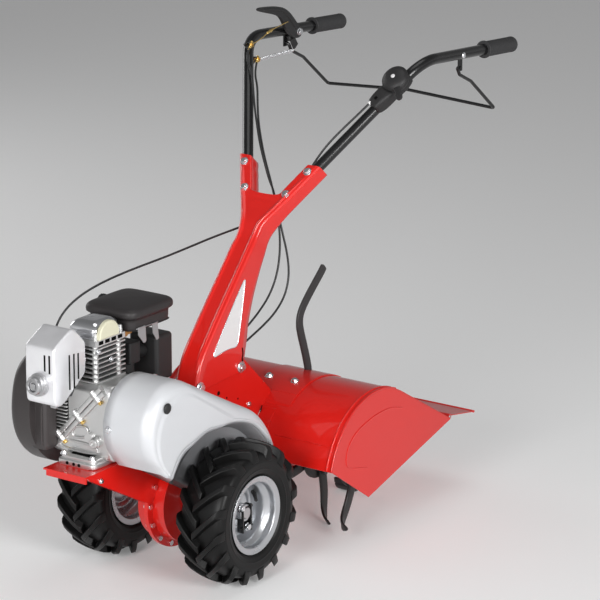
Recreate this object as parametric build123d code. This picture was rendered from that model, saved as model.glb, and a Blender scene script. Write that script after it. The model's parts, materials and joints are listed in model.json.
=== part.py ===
from build123d import *
import os
from math import acos, asin, atan2, cos, hypot, pi, radians, sin, sqrt

# Garden tiller with rear tines: two driven wheels, an engine ahead of them, a hooded tine rotor behind
# and a Y-shaped handle column. All sizes are in millimetres.
# The pieces are laid out about the wheel axle: X forward, Y to the machine's left, Z up, Z = 0 on the ground.
# On export everything moves forward by axle_x: the origin is then at the middle of the machine's base.
# The way from the axle to that middle follows from the muffler's outlet in front and the grips behind.
# On larger or smaller wheels the whole machine stands higher or lower, and the engine keeps clear of them.

# Wheels
wheel_r = 165.0
axle_z = 165.0
tyre_width = 118.0
tyre_wall = 9.0
tyre_corner_r = 26.0
half_track = 169.0
bead_r = 78.0
well_r = 66.0
rim_flange_r = 89.7
rim_half_width = 53.0
rim_wall = 2.4
disc_offset = -12.0
hub_r = 20.0
axle_r = 12.5
axle_half_length = 196.0
lock_height = 62.0
lock_width = 34.0

# Gear and chain case
case_half_width = 36.0
case_wall = 4.0
flange_half = 5.0
flange_lip = 18.0
case_axle_r = 97.0
case_input_r = 45.0
case_rotor_r = 50.0
input_x = -35.0
input_z = 280.0
input_r = 10.0
chain_pitch = 12.7
chain_half_width = 7.0
chain_inset = 3.5
chain_cover = 4.5
tooth_half_width = 3.0
small_teeth = 9
axle_teeth = 38
tine_teeth = 18
chain_offset = 16.0
bearing_width = 8.0
bearing_lip = 9.0

# Tine rotor and hood
rotor_x = -425.0
rotor_z = 160.0
tine_shaft_r = 12.5
tine_shaft_half = 214.0
tine_tube_r = 21.0
tine_tip_r = 156.0
tine_blade = 8.0
tine_blade_depth = 27.0
tine_bend = 45.0
tine_flange_r = 52.0
tine_flanges = (88.0, 190.0)
blades_per_flange = 4
hood_r = 193.0
hood_sheet = 2.0
hood_half_width = 260.0
hood_front_angle = 13.5
hood_slope = 30.0
hood_back_run = 247.5
hood_low_x = -388.0
hood_low_z = 104.0
end_plate = 2.5
notch_gap = 22.0
notch_top = 304.0
flap_depth = 108.0
flap_droop = 9.5
flap_sheet = 2.0
flap_margin = 6.0
knuckle_r = 6.5
flap_pin_r = 3.5

# Depth lever and skid
lever_y = 26.0
lever_thick = 8.0
lever_width = 28.0
depth_pivot_x = -474.0
depth_pivot_z = 326.0
depth_pin_r = 5.0
lever_bend = (-448.0, 472.0)
lever_top = (-537.0, 588.0)
skid_knee = (-572.0, 250.0)
skid_heel = (-642.0, 16.0)
shoe_width = 50.0
saddle_half_width = 65.0
saddle_sheet = 2.5
saddle_from = 63.0
saddle_to = 116.0
ear_thick = 4.0

# Engine carrier and neck
carrier_top = 305.0
carrier_ahead = 137.0
carrier_gap = 8.666
carrier_right = -110.0
carrier_sheet = 4.0
carrier_lip = 16.0
carrier_lip_inset = 8.0
carrier_nose_back = 15.0
carrier_nose_drop = 12.0
carrier_foot_turn = 8.0
carrier_bolt_back = 52.0
carrier_bolt_drop = 22.0
neck_play = 0.3
neck_sheet = 3.0
neck_run = 294.0

# Engine
crank_ahead = 33.0
crank_rise = 106.0
crankcase_length = 124.0
crankcase_left = 20.0
crankcase_right = -150.0
crankcase_top = 490.0
crankcase_wall = 9.0
split_y = -67.0
split_slope = 46.3
crank_r = 12.5
crank_web_r = 40.0
crank_web = 14.0
base_flange = 12.0
base_ahead = 93.0
base_behind = 84.0
base_left = -14.0
base_right = -106.0
pto_boss_r = 40.0
cylinder_ahead = 5.0
cylinder_y = -67.0
cylinder_length = 102.0
cylinder_width = 90.0
cylinder_top = 587.0
fin_pitch = 10.8
fin_thick = 3.2
fin_depth = 13.0
bore_r = 30.0
valve_cover_height = 45.0
cam_cover_r = 34.0
fan_r = 132.0
fan_right = -212.0
fan_wall = 3.0
flywheel_r = 98.0
recoil_r = 82.0
recoil_depth = 22.0
tank_behind = 58.0
tank_length = 144.0
tank_left = -5.0
tank_right = -140.0
tank_bottom = 590.0
tank_top = 646.0
tank_wall = 3.0
cap_r = 20.0
cleaner_behind = 153.0
carburettor_behind = 95.0
carburettor_length = 38.0
bowl_r = 20.0
muffler_left = -46.0
muffler_right = -118.0
muffler_wall = 2.0
muffler_gap = 30.0
outlet_r = 19.0
outlet_reach = 148.0

# Belt drive and guard
belt_y = 75.0
belt_width = 13.0
belt_thick = 8.0
engine_pulley_r = 34.0
driven_pulley_r = 92.0
pulley_half_width = 11.0
guard_drum_r = 101.0
guard_tail_x = -10.0
guard_tail_z = 250.0
guard_tail_inset = 19.0
guard_inner_r = 104.0
guard_rim_y = 30.0
guard_face_y = 160.0
guard_inner_gap = 6.0
guard_sheet = 2.0
guard_edge_r = 22.0
arch_gap = 35.0
plug_ahead = 40.0
plug_z = 465.0
plug_r = 10.0
idler_r = 16.0
idler_gap = 5.0
tension_arm = 45.0

# Column and handle
column_half = 25.0
column_sheet = 2.5
column_base_front = (-36.0, 418.0)
column_mid_front = (-150.0, 602.0)
column_waist_front = (-268.8, 723.0)
column_waist_rear = (-325.0, 700.0)
column_mid_rear = (-253.0, 571.0)
column_base_rear = (-231.0, 432.0)
fork_x = -341.0
fork_z = 806.0
fork_lean = 41.0
fork_depth = 40.0
fork_root = 40.0
fork_low_bolt = (58.0, 0.0)
fork_high_bolt = (89.0, 63.8)
arm_width = 38.0
tube_r = 12.7
tube_wall = 2.0
tube_bend_r = 95.0
handle_corner = (-615.0, 247.0, 1091.0)
handle_tip = (-1003.0, 247.0, 1067.0)
grip_wall = 3.8
grip_length = 128.0
grip_end = 3.0
grip_round = 4.0
bail_r = 4.0
bail_y = 241.0
bail_pivot = (-770.0, 1050.0)
bail_jog = (-782.0, 1030.0)
bail_elbow = (-832.0, 1006.0)
bail_corner = (-938.0, 922.0)
bail_peak = 16.0
bail_tab = 3.0
hand_lever_y = -226.0
hand_lever_x = -792.0
hand_lever_knee = (-746.0, 1138.0)
hand_lever_tip = (-640.0, 1152.0)
hand_lever_thick = 8.0
throttle_at = 0.8375
throttle_r = 28.0
throttle_seat = 11.3

# Control cables: each route from its hand control to its stop
cable_r = 2.5
throttle_route = [
    (-516, 178, 1010), (-487, 154, 976), (-463, 130, 945), (-441, 104, 910), (-426, 82, 873), (-416, 61, 833),
    (-407, 43, 791), (-376, 14, 757), (-355, -22, 733), (-323, -58, 715), (-250, -80, 704), (-171, -95, 693),
    (-99, -106, 685), (-27, -117, 679), (44, -129, 671), (104, -140, 660), (152, -151, 644), (190, -160, 621),
    (215, -165, 592), (227, -168, 558),
]
reverse_route = [
    (-573, -212, 1076), (-548, -206, 1056), (-538, -180, 1029), (-515, -160, 992), (-489, -137, 956),
    (-464, -112, 921), (-442, -88, 884), (-428, -65, 846), (-420, -46, 809), (-411, -26, 788),
    (-402, -10, 745), (-398, 0, 698), (-395, 3, 648), (-382, 4, 599), (-354, 4, 557), (-314, 3, 526),
    (-269, 2, 501), (-223, 0, 478), (-180, -3, 455),
]
clutch_route = [
    (-598, -210, 1037), (-572, -198, 1016), (-543, -168, 993), (-510, -144, 963), (-480, -120, 928),
    (-455, -94, 891), (-439, -72, 853), (-431, -53, 816), (-424, -37, 782), (-419, -20, 737), (-415, -5, 691),
    (-421, 5, 641), (-421, 11, 589), (-402, 12, 543), (-361, 12, 511), (-312, 12, 491), (-260, 11, 474),
    (-212, 9, 456), (-170, 9, 437),
]
stop_r = 4.5
stop_x = -150.0

# Fits
running = 0.05
close = 0.2
air = 0.4
bolt_r = 4.0
bolt_head_r = 8.0
bolt_head = 5.0

# Worked-out values
arch_r = wheel_r + arch_gap
guard_tail_r = wheel_r - guard_tail_inset
crank_x = wheel_r + crank_ahead
guard_inner_y = half_track - tyre_width / 2 - guard_inner_gap
flap_half_width = hood_half_width - flap_margin
notch_half = case_half_width + notch_gap
neck_half = column_half - column_sheet - neck_play
grip_r = tube_r + grip_wall
crank_z = carrier_top + crank_rise
carrier_front = crank_x + carrier_ahead
carrier_drop = carrier_top - carrier_sheet - axle_z
carrier_rear = sqrt((wheel_r + carrier_gap) ** 2 - carrier_drop ** 2)
base_front = crank_x + base_ahead
base_rear = crank_x - base_behind
cylinder_x = crank_x + cylinder_ahead
tank_front = crank_x - tank_behind
tank_rear = tank_front - tank_length
cleaner_front = crank_x - cleaner_behind
carburettor_x = crank_x - carburettor_behind
plug_x = crank_x + plug_ahead
throttle_rise = tube_r + throttle_seat
fork_normal = (cos(radians(fork_lean)), 0.0, sin(radians(fork_lean)))
fork_plane = Plane(origin=(fork_x, 0, fork_z), x_dir=(0, 1, 0), z_dir=fork_normal)
tube_drop = column_sheet + tube_r + close
cylinder_front = cylinder_x + cylinder_length / 2
cylinder_rear = cylinder_x - cylinder_length / 2
grip_tilt = atan2(handle_corner[2] - handle_tip[2], handle_corner[0] - handle_tip[0])
machine_rear = handle_tip[0] - (grip_r - grip_round) * sin(grip_tilt)
axle_x = -(cylinder_front + outlet_reach + machine_rear) / 2


# Every drawn face is kept facing the same way
def upright(sketch):
    return Sketch() + [face if face.normal_at().Z > 0 else -face for face in sketch.faces()]


# Shapes drawn in X and Z stand between two Y planes
def slab(sketch, y_low, y_high):
    return extrude(Plane.XZ.offset(-y_high) * sketch, amount=y_high - y_low, dir=(0, -1, 0))


def disc(x, z, radius, y_low, y_high):
    return slab(Pos(x, z) * Circle(radius), y_low, y_high)


def tube(x, z, outer, inner, y_low, y_high):
    return slab(Pos(x, z) * (Circle(outer) - Circle(inner)), y_low, y_high)


def block(x_low, x_high, y_low, y_high, z_low, z_high):
    size = Box(x_high - x_low, y_high - y_low, z_high - z_low)
    return Pos((x_low + x_high) / 2, (y_low + y_high) / 2, (z_low + z_high) / 2) * size


def outline(*points):
    return upright(Polygon(*points, align=None))


# The outline of a belt round two circles, each given as X, Z and radius
def hull(first, second):
    turn = atan2(second[1] - first[1], second[0] - first[0])
    lean = acos((first[2] - second[2]) / hypot(second[0] - first[0], second[1] - first[1]))
    spots = [(x + r * cos(turn + lean), z + r * sin(turn + lean)) for x, z, r in (first, second)]
    back = [(x + r * cos(turn - lean), z + r * sin(turn - lean)) for x, z, r in (first, second)]
    far = (second[0] + second[2] * cos(turn), second[1] + second[2] * sin(turn))
    near = (first[0] - first[2] * cos(turn), first[1] - first[2] * sin(turn))
    edges = Line(spots[0], spots[1]) + ThreePointArc(spots[1], far, back[1])
    edges = edges + Line(back[1], back[0]) + ThreePointArc(back[0], near, spots[0])
    return upright(make_face(edges))


def rod(start, end, radius):
    along = Vector(*end) - Vector(*start)
    return extrude(Plane(origin=start, z_dir=along) * Circle(radius), amount=along.length)


# A profile of radius and Y turned about an axis along Y
def turned(sketch, x, z):
    return Pos(x, 0, z) * revolve(sketch, axis=Axis.Y)


def band(r_low, r_high, y_low, y_high):
    return outline((r_low, y_low), (r_high, y_low), (r_high, y_high), (r_low, y_high))


def other_side(shape):
    return mirror(shape, about=Plane.XZ)


def both(shape):
    return Compound(children=[shape, other_side(shape)])


# A flat bar bent in X and Z: round ends and corners
def bar(points, width):
    ends = [(x, z, width / 2) for x, z in points]
    pieces = [hull(first, second) for first, second in zip(ends, ends[1:])]
    shape = pieces[0]
    for piece in pieces[1:]:
        shape = shape + piece
    return shape


def bolt(plane, grip):
    head = extrude(plane * Circle(bolt_head_r), amount=bolt_head)
    head = chamfer(head.faces().sort_by(Axis(plane.origin, plane.z_dir))[-1].edges(), 1.2)
    return head + extrude(plane * Circle(bolt_r), amount=-grip)


def bolt_hole(plane, depth):
    return extrude(plane * Circle(bolt_r + close), amount=-depth)


# A cable: straight runs with each corner rounded as far as its runs allow
def cable(name, route):
    spots = [Vector(*spot) for spot in route]
    runs = [b - a for a, b in zip(spots, spots[1:])]
    radii = []
    for before, after in zip(runs, runs[1:]):
        half_turn = radians(before.get_angle(after)) / 2
        radii.append(0.45 * min(before.length, after.length) * cos(half_turn) / sin(half_turn))
    path = FilletPolyline(*spots, radius=radii)
    body = sweep(Plane(origin=spots[0], z_dir=runs[0]) * Circle(cable_r), path=path)
    print(name, "length", round(path.length), "tightest", round(min(radii)),
          "volume ratio", round(body.volume / (pi * cable_r**2 * path.length), 4))
    return body


# The barrel or stop that a cable's end meets face to face
def cable_stop(end, before, length, radius):
    along = (Vector(*end) - Vector(*before)).normalized()
    return rod(end, tuple(Vector(*end) + along * length), radius)


# Wheels
def tyre_section(inset):
    seat = rim_half_width - 5 - close
    half = tyre_width / 2
    side = [(bead_r - 1, seat - inset), (rim_flange_r + 1, seat + 2.5 - inset),
            (rim_flange_r + 14, half - inset), (wheel_r - tyre_corner_r, half - inset),
            (wheel_r - inset, half - tyre_corner_r)]
    section = outline(*side, *[(r, -y) for r, y in reversed(side)])
    return Pos(0, half_track) * section


def tyre():
    section = tyre_section(0) - tyre_section(tyre_wall) - band(0, bead_r, 0, 2 * half_track)
    return turned(section, 0, axle_z)


def rim():
    seat = rim_half_width - 5
    lip = rim_half_width - 2.5
    slope = bead_r - well_r
    flank = seat - 14
    fit = bead_r - close
    outside = [(rim_flange_r, lip), (fit, seat), (fit, flank), (well_r, flank - slope)]
    inside = [(rim_flange_r, rim_half_width), (fit - rim_wall, seat + rim_wall), (fit - rim_wall, flank + 1)]
    inside.append((well_r - rim_wall, flank - slope + 1))
    loop = outside + [(r, -y) for r, y in reversed(outside)]
    loop = loop + [(r, -y) for r, y in inside] + list(reversed(inside))
    dish = band(axle_r + running, well_r - rim_wall / 2, disc_offset - rim_wall, disc_offset)
    hub = band(axle_r + running, hub_r, disc_offset - 16, disc_offset + 24)
    return turned(Pos(0, half_track) * (outline(*loop) + dish + hub), 0, axle_z)


def hub_lock():
    face = half_track + disc_offset + 24
    low = axle_z - lock_height * 0.7
    high = axle_z + lock_height * 0.3
    half = lock_width / 2
    web = block(-half, half, face, face + 4, low, high)
    ears = block(-half, -half + 4, face, face + 16, low, high)
    ears = ears + block(half - 4, half, face, face + 16, low, high)
    lock = web + ears - disc(0, axle_z, axle_r + running, face - 1, face + 30)
    for z in (low + 10, high - 7):
        lock = lock + rod((-half - 6, face + 10, z), (half + 6, face + 10, z), bolt_r)
    return lock - disc(0, axle_z, axle_r + running, face - 1, face + 30)


def chain_wheel_r(teeth):
    return chain_pitch / (2 * sin(pi / teeth))


def chain_wheel(x, z, teeth, y):
    radius = chain_wheel_r(teeth)
    root = radius - chain_inset + 0.3
    tip = radius + 2.5
    points = []
    for step in range(4 * teeth):
        reach = tip if step % 4 < 2 else root
        turn = 2 * pi * (step - 0.5) / (4 * teeth)
        points.append((x + reach * cos(turn), z + reach * sin(turn)))
    return slab(outline(*points), y - tooth_half_width, y + tooth_half_width)


def chain(x, z, teeth, y):
    loop = ((input_x, input_z, chain_wheel_r(small_teeth)), (x, z, chain_wheel_r(teeth)))
    grown = [(px, pz, r + chain_cover) for px, pz, r in loop]
    shrunk = [(px, pz, r - chain_inset) for px, pz, r in loop]
    slot = [(px, pz, r + 3.0) for px, pz, r in loop]
    links = slab(hull(*grown) - hull(*shrunk), y - chain_half_width, y + chain_half_width)
    return links - slab(hull(*slot), y - tooth_half_width - air, y + tooth_half_width + air)


def wheel_axle():
    shaft = disc(0, axle_z, axle_r, -axle_half_length, axle_half_length)
    return shaft + chain_wheel(0, axle_z, axle_teeth, chain_offset)


def input_shaft():
    shaft = disc(input_x, input_z, input_r, -case_half_width + 4, belt_y + pulley_half_width + 4)
    wheels = [chain_wheel(input_x, input_z, small_teeth, side * chain_offset) for side in (1, -1)]
    return shaft + wheels[0] + wheels[1]


def tine_shaft():
    shaft = disc(rotor_x, rotor_z, tine_shaft_r, -tine_shaft_half, tine_shaft_half)
    return shaft + chain_wheel(rotor_x, rotor_z, tine_teeth, -chain_offset)


# The case: one lobe round the axle and the input shaft, one arm back to the rotor
def case_outline(grow):
    front = hull((0, axle_z, case_axle_r + grow), (input_x, input_z, case_input_r + grow))
    back = hull((input_x, input_z, case_input_r + grow), (rotor_x, rotor_z, case_rotor_r + grow))
    return front + back


def bearing_seats():
    return (
        (0, axle_z, axle_r),
        (input_x, input_z, input_r),
        (rotor_x, rotor_z, tine_shaft_r),
    )


def flange_bolt_places():
    places = []
    ring = case_axle_r + flange_lip / 2
    for step in range(8):
        turn = radians(-122 + 25 * step)
        places.append((ring * cos(turn), axle_z + ring * sin(turn)))
    ring = case_rotor_r + flange_lip / 2
    for turn in (110, 180, 250):
        places.append((rotor_x + ring * cos(radians(turn)), rotor_z + ring * sin(radians(turn))))
    return places


def case_half():
    body = slab(case_outline(0), 0, case_half_width)
    body = body + slab(case_outline(flange_lip), 0, flange_half)
    body = body - slab(case_outline(-case_wall), -1, case_half_width - case_wall)
    for x, z, radius in bearing_seats():
        boss_low = case_half_width - case_wall
        body = body + disc(x, z, radius + bearing_lip + 5, boss_low, case_half_width + bearing_width)
        body = body - disc(x, z, radius + bearing_lip, boss_low - 1, case_half_width + bearing_width - 2)
        body = body - disc(x, z, radius + 1.5, boss_low - 1, case_half_width + bearing_width + 1)
    for x, z in flange_bolt_places():
        body = body - disc(x, z, bolt_r + close - 1, -1, flange_half + 1)
    return body


def ball_bearings():
    rings = []
    low = case_half_width - case_wall
    high = case_half_width + bearing_width - 2
    for x, z, radius in bearing_seats():
        ring = tube(x, z, radius + bearing_lip - running, radius + running, low, high)
        rings = rings + [ring, other_side(ring)]
    return Compound(children=rings)


def flange_bolts():
    stack = flange_half + carrier_sheet
    bolts = []
    for x, z in flange_bolt_places():
        under = stack if on_carrier(x, z) else flange_half
        shank = disc(x, z, bolt_r - 1, -under, under)
        bolts.append(shank + disc(x, z, 6, under, under + 4) + disc(x, z, 6, -under - 4, -under))
    return bolts


# Engine carrier: a top plate with a front lip on two webs that are bolted to the case flange
def web_outline():
    low_front = (carrier_front - carrier_nose_back, carrier_top - carrier_nose_drop)
    reach = case_axle_r + flange_lip
    turn = radians(carrier_foot_turn)
    foot = (reach * cos(turn), axle_z + reach * sin(turn))
    inner = (0, axle_z + case_axle_r - 20)
    return outline((carrier_front, carrier_top), low_front, foot, inner, (carrier_rear, carrier_top))


def on_carrier(x, z):
    foot = case_axle_r * sin(radians(carrier_foot_turn)) + axle_z
    return z > foot and x > 0


def engine_carrier():
    plate = block(carrier_rear, carrier_front, carrier_right, flange_half + carrier_sheet,
                  carrier_top - carrier_sheet, carrier_top)
    lip = block(carrier_front - carrier_sheet, carrier_front, carrier_right + carrier_lip_inset,
                flange_half + carrier_sheet, carrier_top - carrier_lip, carrier_top)
    web = slab(web_outline(), flange_half, flange_half + carrier_sheet)
    webs = web + slab(web_outline(), -flange_half - carrier_sheet, -flange_half)
    body = plate + lip + webs - slab(case_outline(close), -case_half_width, case_half_width)
    body = body - slab(case_outline(flange_lip + close), -flange_half, flange_half)
    for x, z in flange_bolt_places():
        body = body - disc(x, z, bolt_r + close - 1, -20, 20)
    for plane in carrier_bolt_planes():
        body = body - bolt_hole(plane, 14)
    return body


def carrier_bolt_planes():
    left = flange_half + carrier_sheet
    place = (carrier_front - carrier_bolt_back, left, carrier_top - carrier_bolt_drop)
    return [Plane(origin=place, z_dir=(0, 1, 0))]


# Neck: two plates from the case up into the column, shaped to the hood's front
def neck_frame():
    front, rear = column_base_front, column_base_rear
    tail = front[0] - neck_run
    plate = outline((front[0] - 24, input_z + 10), (front[0] - 10, front[1] + 10), (rear[0] + 7, rear[1] + 6),
                    (tail, front[1] - 80), (tail, input_z - 40))
    plate = plate - case_outline(close) - Pos(rotor_x, rotor_z) * Circle(hood_r + close)
    side = slab(plate, neck_half - neck_sheet, neck_half)
    web = block(front[0] - 28, front[0] - 24, -neck_half, neck_half, front[1] - 73, front[1] - 3)
    neck = side + other_side(side) + web
    neck = neck + block(stop_x, stop_x + 4, -neck_half + 1, neck_half - 1, 400, 448)
    for route in (clutch_route, reverse_route):
        reach = (stop_x + 2 - route[-1][0]) * hypot(*[a - b for a, b in zip(route[-1], route[-2])])
        neck = neck + cable_stop(route[-1], route[-2], reach / (route[-1][0] - route[-2][0]), stop_r)
    for plane in column_base_planes():
        neck = neck - bolt_hole(plane, 20)
    return neck


# Hood
def hood_profile(radius, overrun):
    front = radians(hood_front_angle - overrun)
    back = radians(90 + hood_slope)
    start = (rotor_x + radius * cos(front), rotor_z + radius * sin(front))
    top = (rotor_x, rotor_z + radius)
    turn = (rotor_x + radius * cos(back), rotor_z + radius * sin(back))
    run = hood_back_run + 4 * overrun
    end = (turn[0] - run * cos(radians(hood_slope)), turn[1] - run * sin(radians(hood_slope)))
    low = (hood_low_x, hood_low_z - 8 * overrun)
    edges = ThreePointArc(start, top, turn) + Line(turn, end) + Line(end, low) + Line(low, start)
    return upright(make_face(edges)), end


def hinge_line():
    end = hood_profile(hood_r, 0)[1]
    return end[0] - knuckle_r + 1, end[1] + 1.5


def lever_slot():
    return block(depth_pivot_x - 26, depth_pivot_x + 34, lever_y - lever_thick / 2 - 2,
                 lever_y + lever_thick / 2 + 2, depth_pivot_z, depth_pivot_z + 60)


def hood_shell():
    sheet = hood_profile(hood_r, 0)[0] - hood_profile(hood_r - hood_sheet, 10)[0]
    shell = slab(sheet, -hood_half_width, hood_half_width)
    shell = shell - block(rotor_x, 0, -notch_half, notch_half, 0, notch_top) - lever_slot()
    x, z = hinge_line()
    for low, high in flap_knuckles():
        shell = shell - disc(x, z, knuckle_r + air, low - air, high + air)
    for low, high in hood_knuckles():
        leaf = block(x, x + knuckle_r + 4, low, high, z - knuckle_r, z - 1)
        knuckle = disc(x, z, knuckle_r, low, high) + leaf
        shell = shell + knuckle
    for low, high in hood_knuckles():
        shell = shell - disc(x, z, flap_pin_r + close, low - 1, high + 1)
    for plane in hood_bolt_planes():
        shell = shell - bolt_hole(plane, 12)
    return shell


def hood_knuckles():
    edge = flap_half_width
    return ((-edge, -edge + 60), (-30, 30), (edge - 60, edge))


def flap_knuckles():
    edge = flap_half_width - 60 - air
    return ((-edge, -30 - air), (30 + air, edge))


def hood_end():
    return slab(hood_profile(hood_r - hood_sheet - close, 0)[0], hood_half_width - end_plate, hood_half_width)


def rear_flap():
    x, z = hinge_line()
    end = (x - flap_depth, z + flap_sheet / 2 - flap_depth * sin(radians(flap_droop)))
    edge = x - knuckle_r + 1.5
    plate = outline((edge, z + 1), end, (end[0], end[1] + flap_sheet), (edge, z + 1 + flap_sheet))
    flap = slab(plate, -flap_half_width, flap_half_width)
    flap = flap + disc(end[0], end[1] + flap_sheet / 2, 3, -flap_half_width, flap_half_width)
    for low, high in hood_knuckles():
        flap = flap - disc(x, z, knuckle_r + 2, low - air, high + air)
    for low, high in flap_knuckles():
        flap = flap + disc(x, z, knuckle_r, low, high)
    for low, high in flap_knuckles():
        flap = flap - disc(x, z, flap_pin_r + running, low - 1, high + 1)
    return flap


def hinge_pins():
    x, z = hinge_line()
    long_pin = disc(x, z, flap_pin_r, -flap_half_width, flap_half_width)
    half = lever_thick / 2 + air + ear_thick + 3
    short_pin = disc(depth_pivot_x, depth_pivot_z, depth_pin_r, lever_y - half, lever_y + half)
    return Compound(children=[long_pin, short_pin])


# Depth lever: a saddle plate on the hood, two ears under it, and a bent bar that ends in a skid
def hood_point(angle, y, lift):
    radius = hood_r + lift
    return rotor_x + radius * cos(radians(angle)), y, rotor_z + radius * sin(radians(angle))


def hood_bolt_planes():
    spread = saddle_half_width * 0.56
    places = [(74.5, lever_y - spread), (74.5, lever_y + spread)]
    planes = []
    for angle, y in places:
        normal = (cos(radians(angle)), 0, sin(radians(angle)))
        planes.append(Plane(origin=hood_point(angle, y, close + saddle_sheet + close), z_dir=normal))
    return planes


def depth_bracket():
    inner = hood_r + close
    sector = Circle(inner + saddle_sheet) - Circle(inner)
    reach = 2 * hood_r
    wedge = outline((0, 0), (reach * cos(radians(saddle_from)), reach * sin(radians(saddle_from))),
                    (reach * cos(radians(90)), reach),
                    (reach * cos(radians(saddle_to)), reach * sin(radians(saddle_to))))
    half = saddle_half_width
    plate = slab(Pos(rotor_x, rotor_z) * (sector & wedge), lever_y - half, lever_y + half)
    plate = plate - lever_slot()
    for plane in hood_bolt_planes():
        plate = plate - bolt_hole(plane, 12)
    under = hood_r - hood_sheet - close
    ear = hull((depth_pivot_x, depth_pivot_z, 13), (depth_pivot_x + 34, depth_pivot_z + 26, 10))
    ear = ear + hull((depth_pivot_x, depth_pivot_z, 13), (depth_pivot_x - 8, depth_pivot_z + 20, 8))
    ear = ear & Pos(rotor_x, rotor_z) * Circle(under)
    ear = ear - Pos(depth_pivot_x, depth_pivot_z) * Circle(depth_pin_r + close)
    gap = lever_thick / 2 + air
    left_ear = slab(ear, lever_y + gap, lever_y + gap + ear_thick)
    right_ear = slab(ear, lever_y - gap - ear_thick, lever_y - gap)
    return Compound(children=[plate, left_ear, right_ear])


def depth_lever():
    upper = bar([(depth_pivot_x, depth_pivot_z), lever_bend, lever_top], lever_width)
    lower = bar([(depth_pivot_x, depth_pivot_z), skid_knee, skid_heel], lever_width - 6)
    half = lever_thick / 2
    lever = slab(upper + lower, lever_y - half, lever_y + half)
    x, z = skid_heel
    sole = outline((x + 26, 30), (x + 20, 8), (x + 10, 0), (x - 40, 0), (x - 58, 10), (x - 62, 24),
                   (x - 56, 24),
                   (x - 40, 7), (x + 8, 7), (x + 18, 30))
    shoe = slab(sole, lever_y - shoe_width / 2, lever_y + shoe_width / 2)
    return lever + shoe - disc(depth_pivot_x, depth_pivot_z, depth_pin_r + running, -200, 200)


# Tine rotor: on each side a tube with two flanges, each flange with curved blades bent in and out by turns
def blade(y, side):
    reach = tine_tip_r
    spine = bar([(tine_flange_r - 10, 0), (reach * 0.6, -12), (reach * 0.8, -32), (reach * 0.88, -62)],
                tine_blade_depth)
    flat = slab(spine & Circle(tine_tip_r), y - tine_blade / 2, y + tine_blade / 2)
    edge = Circle(tine_tip_r) - Circle(tine_tip_r - tine_blade)
    wedge = outline((0, 0), (2 * reach, -2 * reach * 0.3), (2 * reach, -2 * reach * 0.62))
    low, high = (y, y + tine_bend) if side > 0 else (y - tine_bend, y)
    return flat + slab(edge & wedge, low, high)


def tine_rotor():
    low = case_half_width + bearing_width + 2
    high = tine_shaft_half - 2
    rotor = tube(0, 0, tine_tube_r, tine_shaft_r + running, low, high)
    for index, y in enumerate(tine_flanges):
        rotor = rotor + tube(0, 0, tine_flange_r, tine_tube_r - 1, y - 4, y + 4)
        for step in range(blades_per_flange):
            turn = 360 / blades_per_flange * (step + index / 2) + 20
            rotor = rotor + Rot(0, turn, 0) * blade(y, 1 if step % 2 else -1)
    return Pos(rotor_x, 0, rotor_z) * rotor


# Engine
def crankcase():
    half = crankcase_length / 2
    outer = block(crank_x - half, crank_x + half, crankcase_right, crankcase_left,
                  carrier_top + base_flange - 1, crankcase_top)
    outer = fillet(outer.edges().filter_by(Axis.Y), 22)
    outer = fillet(outer.edges().filter_by(Axis.Z), 8)
    base = block(base_rear, base_front, base_right, base_left, carrier_top, carrier_top + base_flange)
    base = fillet(base.edges().filter_by(Axis.Z), 10)
    boss = disc(crank_x, crank_z, pto_boss_r, crankcase_left - 1, guard_rim_y - guard_sheet)
    wall = crankcase_wall
    inside = block(crank_x - half + wall, crank_x + half - wall,
                   crankcase_right + wall, crankcase_left - wall,
                   carrier_top + base_flange + wall, crankcase_top - wall)
    mouth = Plane(origin=(cylinder_x, cylinder_y, crankcase_top - 30))
    throat = extrude(mouth * Circle(bore_r + 2), amount=60)
    shaft = disc(crank_x, crank_z, crank_r + running, -300, 300)
    front = crank_x + half
    plug_y = base_left - 22
    plug = rod((front - 1, plug_y, carrier_top + 64), (front + 9, plug_y, carrier_top + 64), 11)
    return outer + base + boss + plug - inside - throat - shaft


def crankcase_split():
    lean = radians(split_slope)
    return Plane(origin=(crank_x, split_y, crank_z), x_dir=(1, 0, 0), z_dir=(0, -sin(lean), cos(lean)))


def crankcase_bolts():
    lean = radians(split_slope)
    front = crank_x + crankcase_length / 2
    bolts = []
    for along in (-76, 0, 76):
        y = split_y + along * cos(lean)
        z = crank_z + along * sin(lean)
        plane = Plane(origin=(front, y, z), z_dir=(1, 0, 0))
        washer = extrude(plane * Circle(9), amount=2)
        bolts.append(washer + extrude(plane.offset(2) * RegularPolygon(6.5, 6), amount=6))
    return bolts


def cylinder_block():
    half_x = cylinder_length / 2
    half_y = cylinder_width / 2
    core = Box(cylinder_length - 2 * fin_depth, cylinder_width - 2 * fin_depth, cylinder_top - crankcase_top)
    core = Pos(0, 0, (cylinder_top + crankcase_top) / 2) * core
    fins = int((cylinder_top - crankcase_top) / fin_pitch)
    for index in range(fins + 1):
        z = crankcase_top + index * fin_pitch
        core = core + block(-half_x, half_x, -half_y, half_y, z, z + fin_thick)
    head = block(-half_x, half_x, -half_y, half_y, cylinder_top - 14, cylinder_top)
    core = core + head
    for x, y in ((1, 1), (1, -1), (-1, 1), (-1, -1)):
        post = Pos(x * (half_x - 12), y * (half_y - 12), crankcase_top) * Cylinder(
            7, cylinder_top - crankcase_top, align=(Align.CENTER, Align.CENTER, Align.MIN))
        core = core + post
    bore = Pos(0, 0, crankcase_top - 1) * Cylinder(bore_r, cylinder_top - crankcase_top - 20,
                                                   align=(Align.CENTER, Align.CENTER, Align.MIN))
    return Pos(cylinder_x, cylinder_y, 0) * (core - bore)


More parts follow.
